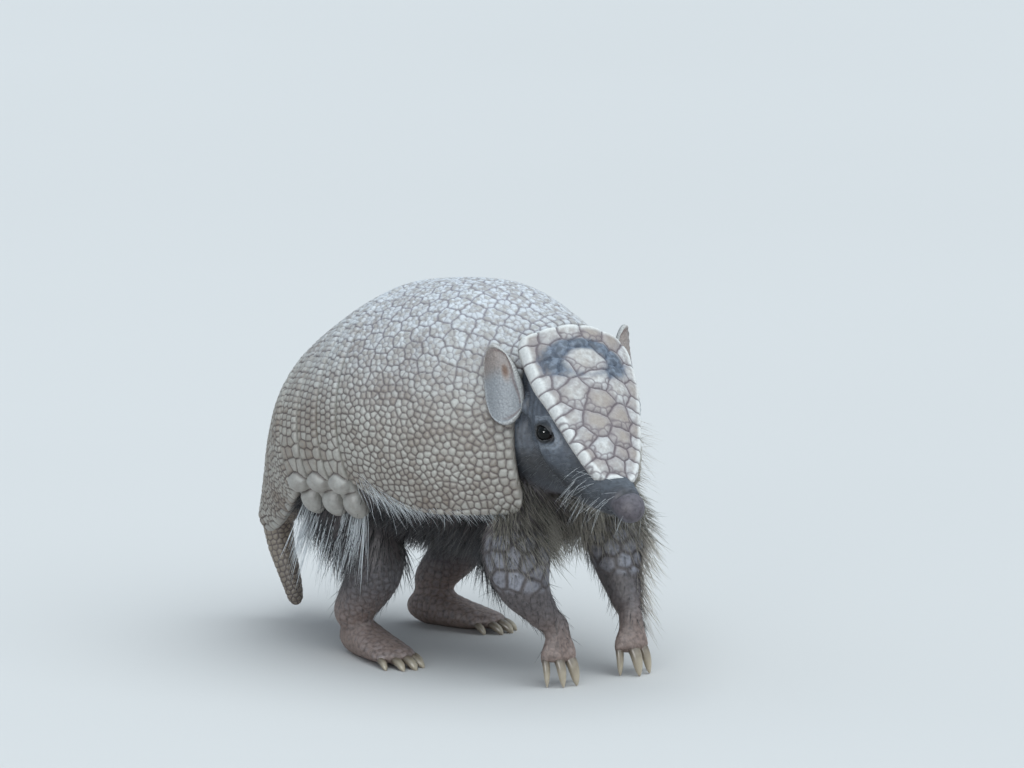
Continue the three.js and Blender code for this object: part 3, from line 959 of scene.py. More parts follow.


def open_eye(points, side):
    """Skin round an eye: an opening, a rolled lid and folds. Also the marks of the lid and of the socket's
    painted shade.
    """
    centre, out, along, across = eye_axes(side)
    place = points - centre
    depth, a, b = (place @ axis for axis in (out, along, across))
    long, high = EYE_OPENING
    narrowing = 1 - 0.3 * np.clip(a / long, -1, 1) ** 2
    reach = np.hypot(a / long, b / high / narrowing)
    near = (depth > 0) & (reach < FOLDS_END)
    radial = np.minimum(np.hypot(a, b), EYE["radius"])
    lid = np.sqrt((EYE["radius"] + 0.05) ** 2 - radial**2) + LID_RISE
    wave = np.cos((reach - LID_ROLL[0]) * math.tau / FOLD_WAVE)
    folds = 0.3 * wave * smooth(reach, 1.3, 1.6) * (1 - smooth(reach, 2.4, FOLDS_END))
    outside = depth + folds + 0.45 * hump(reach, *LID_ROLL)
    shut = smooth(reach, 1.15, 2.0)
    new_depth = np.where(reach < 1, 1.2, lid * (1 - shut) + outside * shut)
    moved = np.where(near, new_depth - depth, 0)
    lid_mark = np.where(near, hump(reach, *LID_MARK), 0)
    # Painted shade round the eye's opening.
    socket = np.where(near, 1 - smooth(reach, *SOCKET), 0)
    return points + out * moved[:, None], lid_mark, socket


# The folds of the face, in the head's frame.
NOSTRIL = {"x": 94, "y": 3.3, "z": 2.6}
NOSE_FOLD = 79.5
NOSE_PADS = (84.5, 3.6)  # their middle and width along x
CREASE_PITCH = 2.3
WRINKLES_AT = (24, 13)  # their middle and width along x
WRINKLE_PITCH = 1.9
CHEEK_LINE = ((20, 32, 45, 65, 82), (-56, -39, -24, -11, -4))  # x and z, below which the face is dark: painted shade, and the jaw's own darker skin


def face_folds(local):
    """How far the skin of the head rises, and how dark it is there, in the head's frame: painted shade, and
    the snout's own darker skin.
    """
    x, y, z = local.T
    over = smooth(z, -4, 1)
    fold = hump(x - 0.05 * y * y, NOSE_FOLD, 0.9) * smooth(z, -1, 2.5)
    pads = 0.2 * hump(x, *NOSE_PADS) * over
    on_snout = smooth(x, 60, 68) * (1 - smooth(x, 76, 79)) * over
    creases = 0.22 * np.sin((x + 0.03 * y * y) * math.tau / CREASE_PITCH) * on_snout
    mouth_line = hump(z - 0.28 * (x - 60), -13, 0.6) * smooth(x, 60, 66) * (1 - smooth(x, 91, 94))
    away = (x - NOSTRIL["x"]) ** 2 + (abs(y) - NOSTRIL["y"]) ** 2 * 1.4 + (z - NOSTRIL["z"]) ** 2
    nostrils = np.exp(-away / 1.9)
    jowl = 0.5 * hump(x, 50, 12) * hump(z, -22, 6)
    wrinkled = hump(x, *WRINKLES_AT) * smooth(-z, 8, 14) * smooth(abs(y), 10, 15)
    lie = 0.21 * x - 0.9 * abs(y) + 0.38 * z + 0.5 * np.sin(x * 0.45)
    wrinkles = 0.17 * np.sin(lie * math.tau / WRINKLE_PITCH) * wrinkled
    rise = pads + creases + jowl + wrinkles - 1.4 * fold - 0.8 * mouth_line - 2.0 * nostrils
    # Painted shade below the cheek line, over the cheek's and jaw's own darker skin; painted shade in the
    # wrinkle lines, the nose fold, the mouth line and the nostrils.
    cheek = 0.95 * (1 - smooth(z - np.interp(x, *CHEEK_LINE), -5, 5))
    # The snout's own darker skin, less of it on the nose.
    snout = 0.74 * smooth(x, 46, 60) - 0.36 * smooth(x, 78.5, 82)
    lines = (0.25 - 1.5 * wrinkles) * wrinkled
    openings = 1.1 * fold + 0.7 * mouth_line + nostrils
    return rise, np.clip(np.max([cheek, snout, lines, openings], axis=0), 0, 1)


# Scutes of the limbs: where they are in height and from rear to front, their pitch, dome and rise, and how
# pale they are.
LIMB_SCUTES = (
    {"low": 37, "high": 59, "rear": 62, "front": 130, "pitch": 6.6, "size": 2.2, "rise": 0.75, "pale": 1.0},
    {"low": 3, "high": 36, "rear": 62, "front": 130, "pitch": 2.9, "size": 1.1, "rise": 0.13, "pale": 0.12},
    {"low": 3, "high": 40, "rear": -60, "front": 40, "pitch": 3.1, "size": 1.2, "rise": 0.36, "pale": 0.3},
)


def limb_relief(points, normals):
    """Horny scutes on the limbs: how far they rise, and the marks of their plates and of the gaps."""
    rng = np.random.default_rng(SEED + 6)
    rise, plate, gap = (np.zeros(len(points)) for _ in range(3))
    for kind in LIMB_SCUTES:
        x, y, z = points.T
        inside = (z > kind["low"] - 3) & (z < kind["high"] + 3)
        inside &= (x > kind["rear"]) & (x < kind["front"]) & (abs(y + 4) > 5)
        chosen = np.flatnonzero(inside)
        seeds = spread_out(points[chosen], kind["pitch"] * 0.82, rng)
        index, border = cells(points[chosen], seeds)
        own = index[:, 0]
        part = np.clip(border.min(axis=1) / kind["size"], 0, 1)
        facing = smooth(normals[chosen, 0] + 0.6 * abs(normals[chosen, 1]), 0.0, 0.5)
        there = window(z[chosen], kind["low"], kind["high"], 1.5) * facing
        tilt = 1 + 0.25 * np.clip((seeds[own, 2] - z[chosen]) / kind["pitch"], -1, 1)
        rise[chosen] += there * (kind["rise"] * quarter_round(part) * tilt - 0.1)
        tone = kind["pale"] * rng.uniform(0.55, 1, len(seeds))[own]
        plate[chosen] += there * smooth(part, 0.05, 0.6) * tone
        gap[chosen] += there * (1 - smooth(part, 0, 0.35))
    return rise, plate, gap


def spread_out(points, apart, rng):
    """Random ones of the points that keep a distance from each other."""
    free = np.ones(len(points), bool)
    kept = []
    for i in rng.permutation(len(points)):
        if free[i]:
            kept.append(i)
            free &= np.linalg.norm(points - points[i], axis=1) > apart
    return points[kept]


def on_front_of_head(points):
    return (in_face(points) > 0.5) & (from_head(points)[:, 0] > 14)


def on_lower_limbs(points):
    x, y, z = points.T
    return (z < 60) & (abs(y) > 6) & ((x > 62) | (z < 42))


def even_and_fine(mesh):
    """Takes the steps of the remesh out, and makes the mesh finer on face, lower limbs and eyes."""
    bm = bmesh.new()
    bm.from_mesh(mesh)
    all_ways = {f"use_axis_{axis}": True for axis in "xyz"}
    for _ in range(5):
        bmesh.ops.smooth_vert(bm, verts=bm.verts, factor=0.5, **all_ways)
    for picked in (on_front_of_head, on_lower_limbs, near_eyes):
        refine(bm, picked)
    bm.to_mesh(mesh)
    bm.free()


def skin_piece():
    whole = remeshed("skin", list(flesh_pieces()), SKIN_VOXEL)
    mesh = whole.data
    even_and_fine(mesh)
    points = to_animal(corners_of(mesh))
    normals = numbers_of(mesh.vertex_normals, "vector", 3).astype(float)
    local = from_head(points)
    on_head = in_face(points)
    rise, plate, gap = limb_relief(points, normals)
    folds, shade = face_folds(local)
    points = points + normals * (folds * on_head + rise)[:, None]
    lids, sockets = 0, 0
    for _, side in SIDES:
        moved, lid, socket = open_eye(from_head(points), side)
        points = in_head(moved)
        lids, sockets = lids + lid, sockets + socket
    points[:, 2] = np.maximum(points[:, 2], FLOOR_GAP)
    set_corners(mesh, to_frame(points))
    turn_outwards(mesh)
    mesh.shade_smooth()
    # Painted shade: the nose's lighter purplish colour stays off its underside, which keeps the face's darker
    # colours.
    nose = smooth(local[:, 0], 74, 84) * smooth(local[:, 2] - 0.25 * (local[:, 0] - 84), -7, 1) * on_head
    foot = 1 - smooth(points[:, 2], 12, 32)
    mark(mesh, face=on_head, lid=lids, nose=nose, foot=foot, plate=plate, gap=gap)
    mark(mesh, shade=np.maximum(sockets, shade * on_head))
    return whole


def in_face(points):
    """1 on the face and 0 behind it."""
    local = from_head(points)
    return smooth(local[:, 0], -2, 6) * smooth(44 - abs(local[:, 1]), 0, 8) * smooth(local[:, 2], -48, -40)


def near_eyes(points):
    local = from_head(points)
    found = np.zeros(len(points), bool)
    for _, side in SIDES:
        centre, out, _, _ = eye_axes(side)
        place = local - centre
        found |= (np.linalg.norm(place, axis=1) < 11) & (place @ out > 0)
    return found


# ---------- eyes, ears, claws and tail ----------


def eye_piece(name, side):
    """An eyeball whose cornea stands out a little."""
    centre, out, _, _ = eye_axes(side)

    def place(plain):
        facing = plain @ out
        bulge = 0.05 * hump(facing, 1, 0.09)
        local = centre + plain * (EYE["radius"] - 0.05) * (1 + bulge)[:, None]
        return in_head(local), {"white": 1 - smooth(facing, 0.68, 0.72)}

    return shaped(f"eyeball_{name}", ball(48, 32), place)


EAR_BEADS = 46
EAR_THICK = 0.45
EAR_EDGE = 0.7  # the radius of its edge
EAR_PIT = {"across": 0.42, "up": 0.3, "size": 0.27}  # the rust brown opening, as parts of the ear


def ear_piece(name):
    """A cupped leaf of skin with a beaded rim."""
    ear = EARS[name]
    lobe, tip = in_head(ear["lobe"]), in_head(ear["tip"])
    up = (tip - lobe) / 2
    half_long = np.linalg.norm(up)
    out = across_to(unit(up), HEAD_AXES @ np.array(ear["face"]))
    forward = unit(np.cross(up, out)) * (1 if name == "right" else -1)

    def place(plain):
        a, b = plain[:, 0], plain[:, 1]
        part, rise = a * np.sqrt(1 - b * b / 2), b * np.sqrt(1 - a * a / 2)
        under = is_lining(plain)
        wide = EAR_HALF * (1.04 - 0.16 * rise - 0.12 * rise**2)
        across, along = part * wide, rise * half_long
        from_middle = np.maximum(abs(a), abs(b))
        edge = (1 - from_middle) * np.hypot(across, along) / np.maximum(from_middle, 0.05)
        front = smooth(part, -0.5, 0.4)
        rim = 1 - smooth(edge, 0.7 + 0.5 * front, 1.4 + 0.6 * front)
        beads = 0.5 + 0.5 * np.cos(np.arctan2(along, across) * EAR_BEADS)
        pebbled = ripple(np.stack([across, along, 0 * a], -1), 0.9)
        thick = EAR_THICK + rim * (0.25 + 0.35 * front + 0.3 * beads) + 0.16 * pebbled * (1 - rim)
        thick = thick - EAR_EDGE * (1 - quarter_round(edge / EAR_EDGE))
        bend = 1.1 * np.sin(rise * 2.2 + 0.6) * part
        lift = bend - EAR_CUP * part**2 + np.where(under, -0.5, thick)
        points = lobe + up * (1 + rise)[:, None] + forward * across[:, None] + out * lift[:, None]
        pit = hump(rise, EAR_PIT["up"], EAR_PIT["size"]) * hump(part, EAR_PIT["across"], EAR_PIT["size"])
        rust = np.maximum(pit, 0.62 * smooth(rise, -0.15, 0.5)) * ~under
        # Painted shade: a dark stripe inside the thick front rim.
        furrow = 0.85 * hump(edge, 2.4, 0.6) * front
        return points, {"rim": rim * (0.35 + 0.65 * front), "rust": rust, "inner": np.maximum(under, furrow)}

    return shaped(f"ear_leaf_{name}", slab((72, 110), (12, 18)), place)


CLAW_BEND = (0.62, 0.55, 0.42)  # where a claw's middle lies between root and tip, in x, y and z
CLAW_TAPER = (1, 0.88, 0.42)


def claw_piece(name, foot, root, tip, thick):
    """A bent claw with a ridge along its back."""
    middle = [a + (b - a) * share for a, b, share in zip(root, tip, CLAW_BEND)]
    rows = [(*on_foot(foot, place), thick * part) for place, part in zip((root, middle, tip), CLAW_TAPER)]

    def place(plain):
        t, around = round_axis(plain)
        points, out = limb(t, around, rows, 0.25, shrink=0.1)
        ridge = 0.12 * thick * np.cos(around * 2) * (1 - t)
        points = points + out * ridge[:, None]
        points[:, 2] = np.maximum(points[:, 2], 0)
        return points, {"along": t}

    return shaped(name, ball(20, 24), place)


TAIL_RINGS = 26
TAIL_AROUND = 19  # tubercles in the first ring
TAIL_TAPER = 0.68
TAIL_CAP = 0.08


def tail_piece():
    """The tail: rings of tubercles, with fewer in each toward the tip."""
    rng = np.random.default_rng(SEED + 1)
    seeds = []
    for ring in range(TAIL_RINGS):
        t = (ring + 0.5) / TAIL_RINGS
        count = max(round(TAIL_AROUND * (1 - TAIL_TAPER * t)), 6)
        for k in range(count):
            turn = (k + 0.5 * (ring % 2)) * math.tau / count
            seeds.append((t + rng.normal(0, 0.002), turn + rng.normal(0, 0.03)))
    seed_points, _ = limb(*np.array(seeds).T, TAIL_ROWS, TAIL_CAP, shrink=0)

    def place(plain):
        points, out = limb(*round_axis(plain), TAIL_ROWS, TAIL_CAP, shrink=0)
        _, border = cells(points, seed_points)
        bead = np.clip(border.min(axis=1), 0, 1)
        height = 0.45 * quarter_round(bead) - 0.3
        tone = rng.random(len(points)) * 0.3 + 0.4
        return points + out * height[:, None], {"bead": bead, "tone": tone, "pale": 0 * bead}

    return shaped("tail_scutes", ball(110, 220), place)


# ---------- the coat ----------
HAIR_RINGS = 5  # rings of three corners along a hair, before its tip
WIDEST = 60.2  # hair lies within the shell's width
PATCH = 0.003  # how wide a hair's patch of the unwrap is
HAIR_FLOOR = 0.4  # hair ends at least so high
OBLIQUE = (0.31, 0.52, 0.79)  # a direction that no hair follows


class Skin:
    """Triangles of the finished skin, to root hairs on."""

    def __init__(self, piece):
        self.corners = to_animal(corners_of(piece.data))[triangles_of(piece.data)]
        a, b, c = self.corners.transpose(1, 0, 2)
        cross = np.cross(b - a, c - a)
        self.area = np.linalg.norm(cross, axis=1) / 2
        self.normals = unit(cross)
        self.middles = self.corners.mean(axis=1)

    def roots(self, where, count, rng):
        """Random places on the skin, as dense as where() says, and the directions out of it."""
        weight = self.area * where(self.middles, self.normals)
        chosen = rng.choice(len(weight), count, p=weight / weight.sum())
        mix = rng.dirichlet((1, 1, 1), count)
        return (self.corners[chosen] * mix[:, :, None]).sum(axis=1), self.normals[chosen]


def hair_plan():
    """The faces of one hair: quads between its rings, and triangles at its tip and its root."""
    quads = []
    for first in range(0, 3 * (HAIR_RINGS - 1), 3):
        for a, b in ((0, 1), (1, 2), (2, 0)):
            quads.append((first + a, first + b, first + 3 + b, first + 3 + a))
    last, tip = 3 * (HAIR_RINGS - 1), 3 * HAIR_RINGS
    triangles = [(last, last + 1, tip), (last + 1, last + 2, tip), (last + 2, last, tip), (2, 1, 0)]
    return quads, triangles


def hair_faces(count):
    """The faces of so many hairs, one after another."""
    starts = np.arange(count)[:, None, None] * (3 * HAIR_RINGS + 1)
    faces = []
    for plan in hair_plan():
        plan = np.array(plan)
        faces += (plan + starts).reshape(-1, plan.shape[1]).tolist()
    return faces


def bake_map(mesh, unwrap, along):
    """A UV map in which each hair is a small patch at its root's place on an unwrap."""
    around = np.append(np.tile(np.arange(3) / 3, HAIR_RINGS), 0.5)
    places = unwrap[:, None] + np.stack([along, around], -1) * PATCH
    corners = numbers_of(mesh.loops, "vertex_index", 1, np.int32)[:, 0]
    layer = mesh.uv_layers.new(name="OFBake")
    layer.data.foreach_set("uv", places.reshape(-1, 2)[corners].astype(np.float32).ravel())


def hairs(name, roots, heading, length, width, rng, unwrap, droop=0.25, curl=0.1, spread=0.12):
    """One mesh of tapered hairs. Each bends down by droop and aside by curl, as parts of its length."""
    count = len(roots)
    s = np.linspace(0, 1, HAIR_RINGS + 1)[None, :, None]
    heading = unit(heading + rng.normal(0, spread, (count, 3)))
    length = (length * rng.uniform(0.65, 1.15, count))[:, None, None]
    aside = unit(np.cross(heading, rng.normal(0, 1, (count, 3))))[:, None]
    bend = rng.normal(0, curl, (count, 1, 1))
    path = roots[:, None] + length * (heading[:, None] * s + aside * bend * s**2 + droop * s**2 * (0, 0, -1))
    path[:, :, 1] = np.clip(path[:, :, 1], -WIDEST, WIDEST)
    path[:, :, 2] = np.maximum(path[:, :, 2], HAIR_FLOOR)
    tangent = unit(np.gradient(path, axis=1))
    first = unit(np.cross(tangent, OBLIQUE))
    second = np.cross(tangent, first)
    thick = 0.5 * width * rng.uniform(0.7, 1.2, (count, 1, 1)) * (1 - s) ** 0.6
    turns = np.arange(3) * math.tau / 3
    ring = [path + thick * (first * math.cos(a) + second * math.sin(a)) for a in turns]
    corners = np.stack([side[:, :-1] for side in ring], axis=2).reshape(count, -1, 3)
    points = np.concatenate([corners, path[:, -1:]], axis=1)
    mesh = bpy.data.meshes.new(name)
    mesh.from_pydata(to_frame(points.reshape(-1, 3)), [], hair_faces(count))
    along = np.append(np.repeat(np.arange(HAIR_RINGS) / HAIR_RINGS, 3), 1.0)
    mark(mesh, along=np.tile(along, count), tone=np.repeat(rng.random(count), points.shape[1]))
    bake_map(mesh, unwrap, along)
    mesh.shade_smooth()
    return linked(name, mesh)


def on_square(along, turn):
    """A place on the unwrap's square from two parts, with a small border."""
    return np.stack([0.03 + 0.94 * np.clip(along, 0, 1), 0.03 + 0.94 * turn], -1)


def body_unwrap(points):
    """An unwrap of the trunk: along the body, and round its axis."""
    return on_square((points[:, 0] + 90) / 190, turn_round(points[:, 1], points[:, 2] - 70))


def head_unwrap(points):
    """An unwrap of the head: along it, and round its axis."""
    local = from_head(points)
    return on_square((local[:, 0] + 10) / 110, turn_round(local[:, 1], local[:, 2] + 14))


def legs_unwrap(points):
    """An unwrap of the legs: a quarter of the square each, down the leg and round it."""
    x, y, z = points.T
    fore, left = x > 30, y > 0
    middle_x = np.where(fore, 72, np.where(left, -26, -6))
    middle_y = np.where(left, 1, -1) * np.where(fore, 24, 33)
    down, turn = np.clip(z / 80, 0, 1), turn_round(y - middle_y, x - middle_x)
    return np.stack([0.5 * fore + 0.02 + 0.45 * down, 0.5 * left + 0.02 + 0.45 * turn], -1)


def margin_height(x):
    """How high the shell's lower edge is above the floor."""
    table = sorted((row[3], row[4]) for row in SHELL)
    return np.interp(x, [row[0] for row in table], [row[1] for row in table])


def laid(normals, direction, lift):
    """Headings that follow a direction over the skin and stand off it by a lift."""
    direction = np.broadcast_to(np.asarray(direction, float), normals.shape)
    return unit(across_to(normals, direction) + normals * lift)


def under_edge(u, side, inward, deep):
    """Places beneath the shell, a part of v in from its edge and so deep, and where they are on the unwrap."""
    edge = np.where(u > SHOULDER_END, BAND_END - 0.03, shoulder_reach(u))
    v = side * (edge - inward)
    unwrap = np.stack([0.05 + 0.9 * u, 0.5 + 0.4 * v], -1)
    return shell_skin(u, v) - shell_out(u, v) * deep[:, None], unwrap


def headings(x, y, z):
    """Directions from their parts, of which any may be one number for all."""
    return unit(np.stack(np.broadcast_arrays(x, y, z), -1).astype(float))


FRINGE = {"locks": 32, "hairs": 240, "first": 0.505, "span": 0.205, "length": (23, 35), "width": 0.36}


def fringe(side_name, side):
    """The locks of long pale hair that hang from under the bands and lean back toward the rear."""
    rng = np.random.default_rng(SEED + 3)
    locks, count = FRINGE["locks"], FRINGE["hairs"]
    lock = rng.integers(0, locks, count)
    back = (np.arange(locks) + rng.uniform(-0.3, 0.3, locks)) / locks
    u = (FRINGE["first"] + FRINGE["span"] * back)[lock] + rng.normal(0, 0.0022, count)
    inward = rng.uniform(0.012, 0.04, locks)[lock] + rng.normal(0, 0.004, count)
    roots, unwrap = under_edge(u, side, inward, rng.uniform(3.8, 5.0, count))
    lean = (rng.normal(-0.05, 0.07, locks) - 0.36 * back)[lock]
    length = rng.uniform(*FRINGE["length"], locks)[lock]
    bent = {"droop": 0.1, "curl": 0.06, "spread": 0.04}
    heading = headings(lean, side * 0.1, -1)
    return hairs(f"fringe_{side_name}", roots, heading, length, FRINGE["width"], rng, unwrap, **bent)


MARGIN_HAIRS = 380


def margin_hairs(side_name, side):
    """Thin pale hairs along the shoulder shield's lower edge, lying forward."""
    rng = np.random.default_rng(SEED + 4)
    u = SHOULDER_END - 0.42 * rng.random(MARGIN_HAIRS) ** 1.7
    inward, deep = rng.uniform(-0.004, 0.03, MARGIN_HAIRS), rng.uniform(2.4, 4.4, MARGIN_HAIRS)
    roots, unwrap = under_edge(u, side, inward, deep)
    length = 9 + 10 * smooth(u, 0.3, 0.46)
    bent = {"droop": 0.22, "curl": 0.16, "spread": 0.14}
    heading = headings(0.9, side * 0.22, -0.2)
    return hairs(f"margin_hair_{side_name}", roots, heading, length, 0.2, rng, unwrap, **bent)


# Where the coats grow: how dense each is at places of the skin, with the directions out of it.


def flank(points, out):
    x, y, z = points.T
    below = margin_height(x) - z
    return window(below, -4, 26, 3) * window(x, -70, 62, 4) * (abs(y) > 14) * (out[:, 2] < 0.7)


def belly(points, out):
    return (out[:, 2] < -0.4) * window(points[:, 2], 38, 62, 4) * window(points[:, 0], -66, 70, 4)


def throat(points, out):
    x, _, z = points.T
    return window(x, 58, 96, 4) * window(z, 54, 96, 6) * (out[:, 0] > -0.2) * (in_face(points) < 0.3)


def upper_legs(points, out):
    return window(points[:, 2], 16, 62, 5) * (abs(points[:, 1]) > 10)


def left_arm(points, out):
    x, y, z = points.T
    return window(z, 20, 56, 5) * (y > 18) * (x > 50) * (out[:, 1] > 0.1)


def muzzle(points, out):
    x, _, z = from_head(points).T
    at_eye = (abs(x - 41) <= 9) & (abs(z + 16) <= 7)
    return in_face(points) * ((z < -3) & ~at_eye & (x < 86))


def left_cheek(points, out):
    x, y, z = from_head(points).T
    return in_face(points) * window(x, 36, 66, 4) * (y > 7) * window(z, -26, -5, 3)


def lips(points, out):
    x, y, z = from_head(points).T
    return in_face(points) * window(x, 60, 88, 3) * (z < 2) * (abs(y) > 3)


OVER_CHEEK = HEAD_AXES @ (-0.5, 0, -1)
OUT_AND_FORWARD = HEAD_AXES @ (0.35, 0.6, -0.45)
DOWN_FROM_LIP = HEAD_AXES @ (0.1, 0, -0.3)
# Each coat: its place and number of hairs, where they point and how far they stand off, their length and
# width, how far they droop, the unwrap of their patches and their colour.
COATS = {
    # The flank coat's near black is the hair's own dark colour and painted shade under the shell.
    "flank_coat": (flank, 4200, (-0.4, 0, -1), 0.2, 12.5, 0.26, 0.25, body_unwrap, "dark"),
    "belly_coat": (belly, 1800, (-1, 0, -0.2), 0.5, 10, 0.26, 0.25, body_unwrap, "brown"),
    "throat_coat": (throat, 2600, (0.55, -0.1, -0.75), 0.55, 13, 0.26, 0.1, body_unwrap, "straw"),
    "leg_coat": (upper_legs, 1900, (-0.1, 0, -1), 0.32, 6, 0.2, 0.05, legs_unwrap, "brown"),
    "arm_fringe": (left_arm, 620, (0.2, 0, -1), 0.5, 14, 0.26, 0.05, legs_unwrap, "cream"),
    "face_coat": (muzzle, 1900, OVER_CHEEK, 0.3, 3.6, 0.1, 0, head_unwrap, "grey"),
    "cheek_bristles": (left_cheek, 130, OUT_AND_FORWARD, 1, 12, 0.17, 0.1, head_unwrap, "cream"),
    "whiskers": (lips, 70, DOWN_FROM_LIP, 1.1, 11, 0.14, 0.1, head_unwrap, "silver"),
}


def coat_pieces(skin):
    """Each coat piece, with the name of its colour."""
    for side_name, side in SIDES:
        yield fringe(side_name, side), "silver"
        yield margin_hairs(side_name, side), "silver"
    rng = np.random.default_rng(SEED + 5)
    for name, (where, count, toward, lift, length, width, droop, unwrap, colour) in COATS.items():
        roots, out = skin.roots(where, count, rng)
        heading = laid(out, toward, lift)
        yield hairs(name, roots, heading, length, width, rng, unwrap(roots), droop), colour


# ---------- materials ----------


class Value:
    """A socket of a material, with arithmetic."""

    def __init__(self, shader, socket):
        self.shader, self.socket = shader, socket

    def math(self, operation, first, second):
        return self.shader.node("Math", {"operation": operation}, {0: first, 1: second})

    def __add__(self, other):
        return self.math("ADD", self, other)

    def __mul__(self, other):
        return self.math("MULTIPLY", self, other)

    def __sub__(self, other):
        return self.math("SUBTRACT", self, other)

    def __rsub__(self, other):
        return self.math("SUBTRACT", other, self)

    __radd__, __rmul__ = __add__, __mul__


class Shader:
    """A material of one shader, whose every node comes from node()."""

    def __init__(self, name):
        self.material = bpy.data.materials.new(name)
        self.material.use_nodes = True
        self.tree = self.material.node_tree
        self.tree.nodes.clear()

    def node(self, kind, settings=None, values=None, output=0):
        """A node of a kind, with its settings and the values or links of its sockets."""
        node = self.tree.nodes.new("ShaderNode" + kind)
        for key, setting in (settings or {}).items():
            setattr(node, key, setting)
        for key, value in (values or {}).items():
            if isinstance(value, Value):
                self.tree.links.new(value.socket, node.inputs[key])
            elif node.inputs[key].type == "RGBA":
                node.inputs[key].default_value = (*value, 1)
            else:
                node.inputs[key].default_value = value
        return Value(self, node.outputs[output] if node.outputs else None)

    def mark(self, name):
        return self.node("Attribute", {"attribute_name": name}, output="Fac")

    def marks(self, *names):
        return [self.mark(name) for name in names]

    def place(self):
        return self.node("TexCoord", output="Object")

    def noise(self, scale, detail):
        return self.node("TexNoise", None, {"Vector": self.place(), "Scale": scale, "Detail": detail})

    def pits(self, scale):
        return self.node("TexVoronoi", None, {"Vector": self.place(), "Scale": scale})

    def blend(self, how, factor, first, second):
        """Two colours blended; a Mix node's sockets 0, 6 and 7 are the factor and the colours."""
        settings = {"data_type": "RGBA", "blend_type": how}
        return self.node("Mix", settings, {0: factor, 6: first, 7: second}, output=2)

    def mix(self, factor, first, second):
        return self.blend("MIX", factor, first, second)

    def darken(self, colour, amount):
        return self.blend("MULTIPLY", amount, colour, (0, 0, 0))

    def steps(self, value, low, high):
        return self.node("MapRange", {"interpolation_type": "SMOOTHSTEP"}, {0: value, 1: low, 2: high})

    def height(self):
        return self.node("SeparateXYZ", None, {0: self.place()}, output="Z")

    def finish(self, colour, roughness, bump=None, distance=0.0, strength=0.0, **constants):
        """Ends the material with its surface, and with a bump of a distance in metres."""
        values = {"Base Color": colour, "Roughness": roughness, **constants}
        if bump is not None:
            bumps = {"Strength": strength, "Distance": distance, "Height": bump}
            values["Normal"] = self.node("Bump", None, bumps)
        self.node("OutputMaterial", None, {"Surface": self.node("BsdfPrincipled", None, values)})
        return self.material


# Colours of the horn, the skin and the hair, as red, green and blue. Where there are two, patches or a hair's
# length run from one to the other.
GROOVE_BROWN = (0.115, 0.082, 0.075)
TAN = (0.30, 0.24, 0.19)
CREAM = (0.535, 0.495, 0.435)
PALE_HORN = (0.465, 0.44, 0.405)
# Painted sky sheen: the bluish white that the horn takes on over the top of the shell.
SKY_SHEEN_HORN = (0.80, 0.82, 0.88)
SPECKLE_BROWN = (0.27, 0.215, 0.185)
# Painted sky sheen: the bluish purple of the lines over the top of the shell.
SKY_SHEEN_GROOVE = (0.27, 0.245, 0.285)
TAIL_DARK = (0.25, 0.19, 0.145)
TAIL_LIGHT = (0.40, 0.325, 0.25)
SHIELD_COLOURS = {
    "horn": ((0.40, 0.33, 0.285), (0.67, 0.64, 0.61)),
    "mottled": (0.30, 0.235, 0.21),
    "edge": (0.36, 0.325, 0.36),
    "rim": (0.90, 0.87, 0.83),
    "groove": (0.17, 0.13, 0.14),
    "crescent": ((0.055, 0.075, 0.11), (0.18, 0.215, 0.275)),
}
SKIN_COLOURS = {
    "body": ((0.068, 0.054, 0.054), (0.128, 0.102, 0.10)),
    "foot": ((0.21, 0.14, 0.115), (0.33, 0.235, 0.195)),
    "plate": ((0.22, 0.215, 0.24), (0.38, 0.375, 0.42)),
    "gap": (0.05, 0.042, 0.04),
    "face": ((0.095, 0.11, 0.138), (0.215, 0.24, 0.285)),
    "nose": (0.15, 0.115, 0.13),
    "shade": (0.018, 0.018, 0.02),
    "lid": (0.32, 0.34, 0.38),
}
# The layers over the body's colour, in order, and how strong each is.
SKIN_LAYERS = {"foot": 1, "plate": 0.9, "gap": 0.36, "face": 1, "nose": 0.85, "shade": 0.88, "lid": 0.75}
EAR_COLOURS = {
    "skin": ((0.30, 0.305, 0.32), (0.42, 0.42, 0.43)),
    "tan": (0.34, 0.235, 0.18),
    "rust": (0.16, 0.075, 0.04),
    # for the lining, and for the painted shade inside the front rim
    "inner": (0.17, 0.10, 0.09),
    "rim": (0.62, 0.60, 0.57),
}
EYE_COLOURS = ((0.003, 0.003, 0.003), (0.012, 0.008, 0.007))
CLAW_COLOURS = ((0.10, 0.07, 0.05), (0.46, 0.38, 0.28))
HAIR_COLOURS = {
    "silver": ((0.70, 0.70, 0.70), (0.95, 0.96, 0.97)),
    # near black: dark hair, and painted shade under the shell
    "dark": ((0.012, 0.011, 0.012), (0.055, 0.053, 0.056)),
    "brown": ((0.04, 0.034, 0.032), (0.17, 0.155, 0.15)),
    "straw": ((0.075, 0.062, 0.05), (0.36, 0.32, 0.26)),
    "cream": ((0.30, 0.25, 0.21), (0.78, 0.70, 0.61)),
    "grey": ((0.15, 0.155, 0.165), (0.36, 0.37, 0.39)),
}


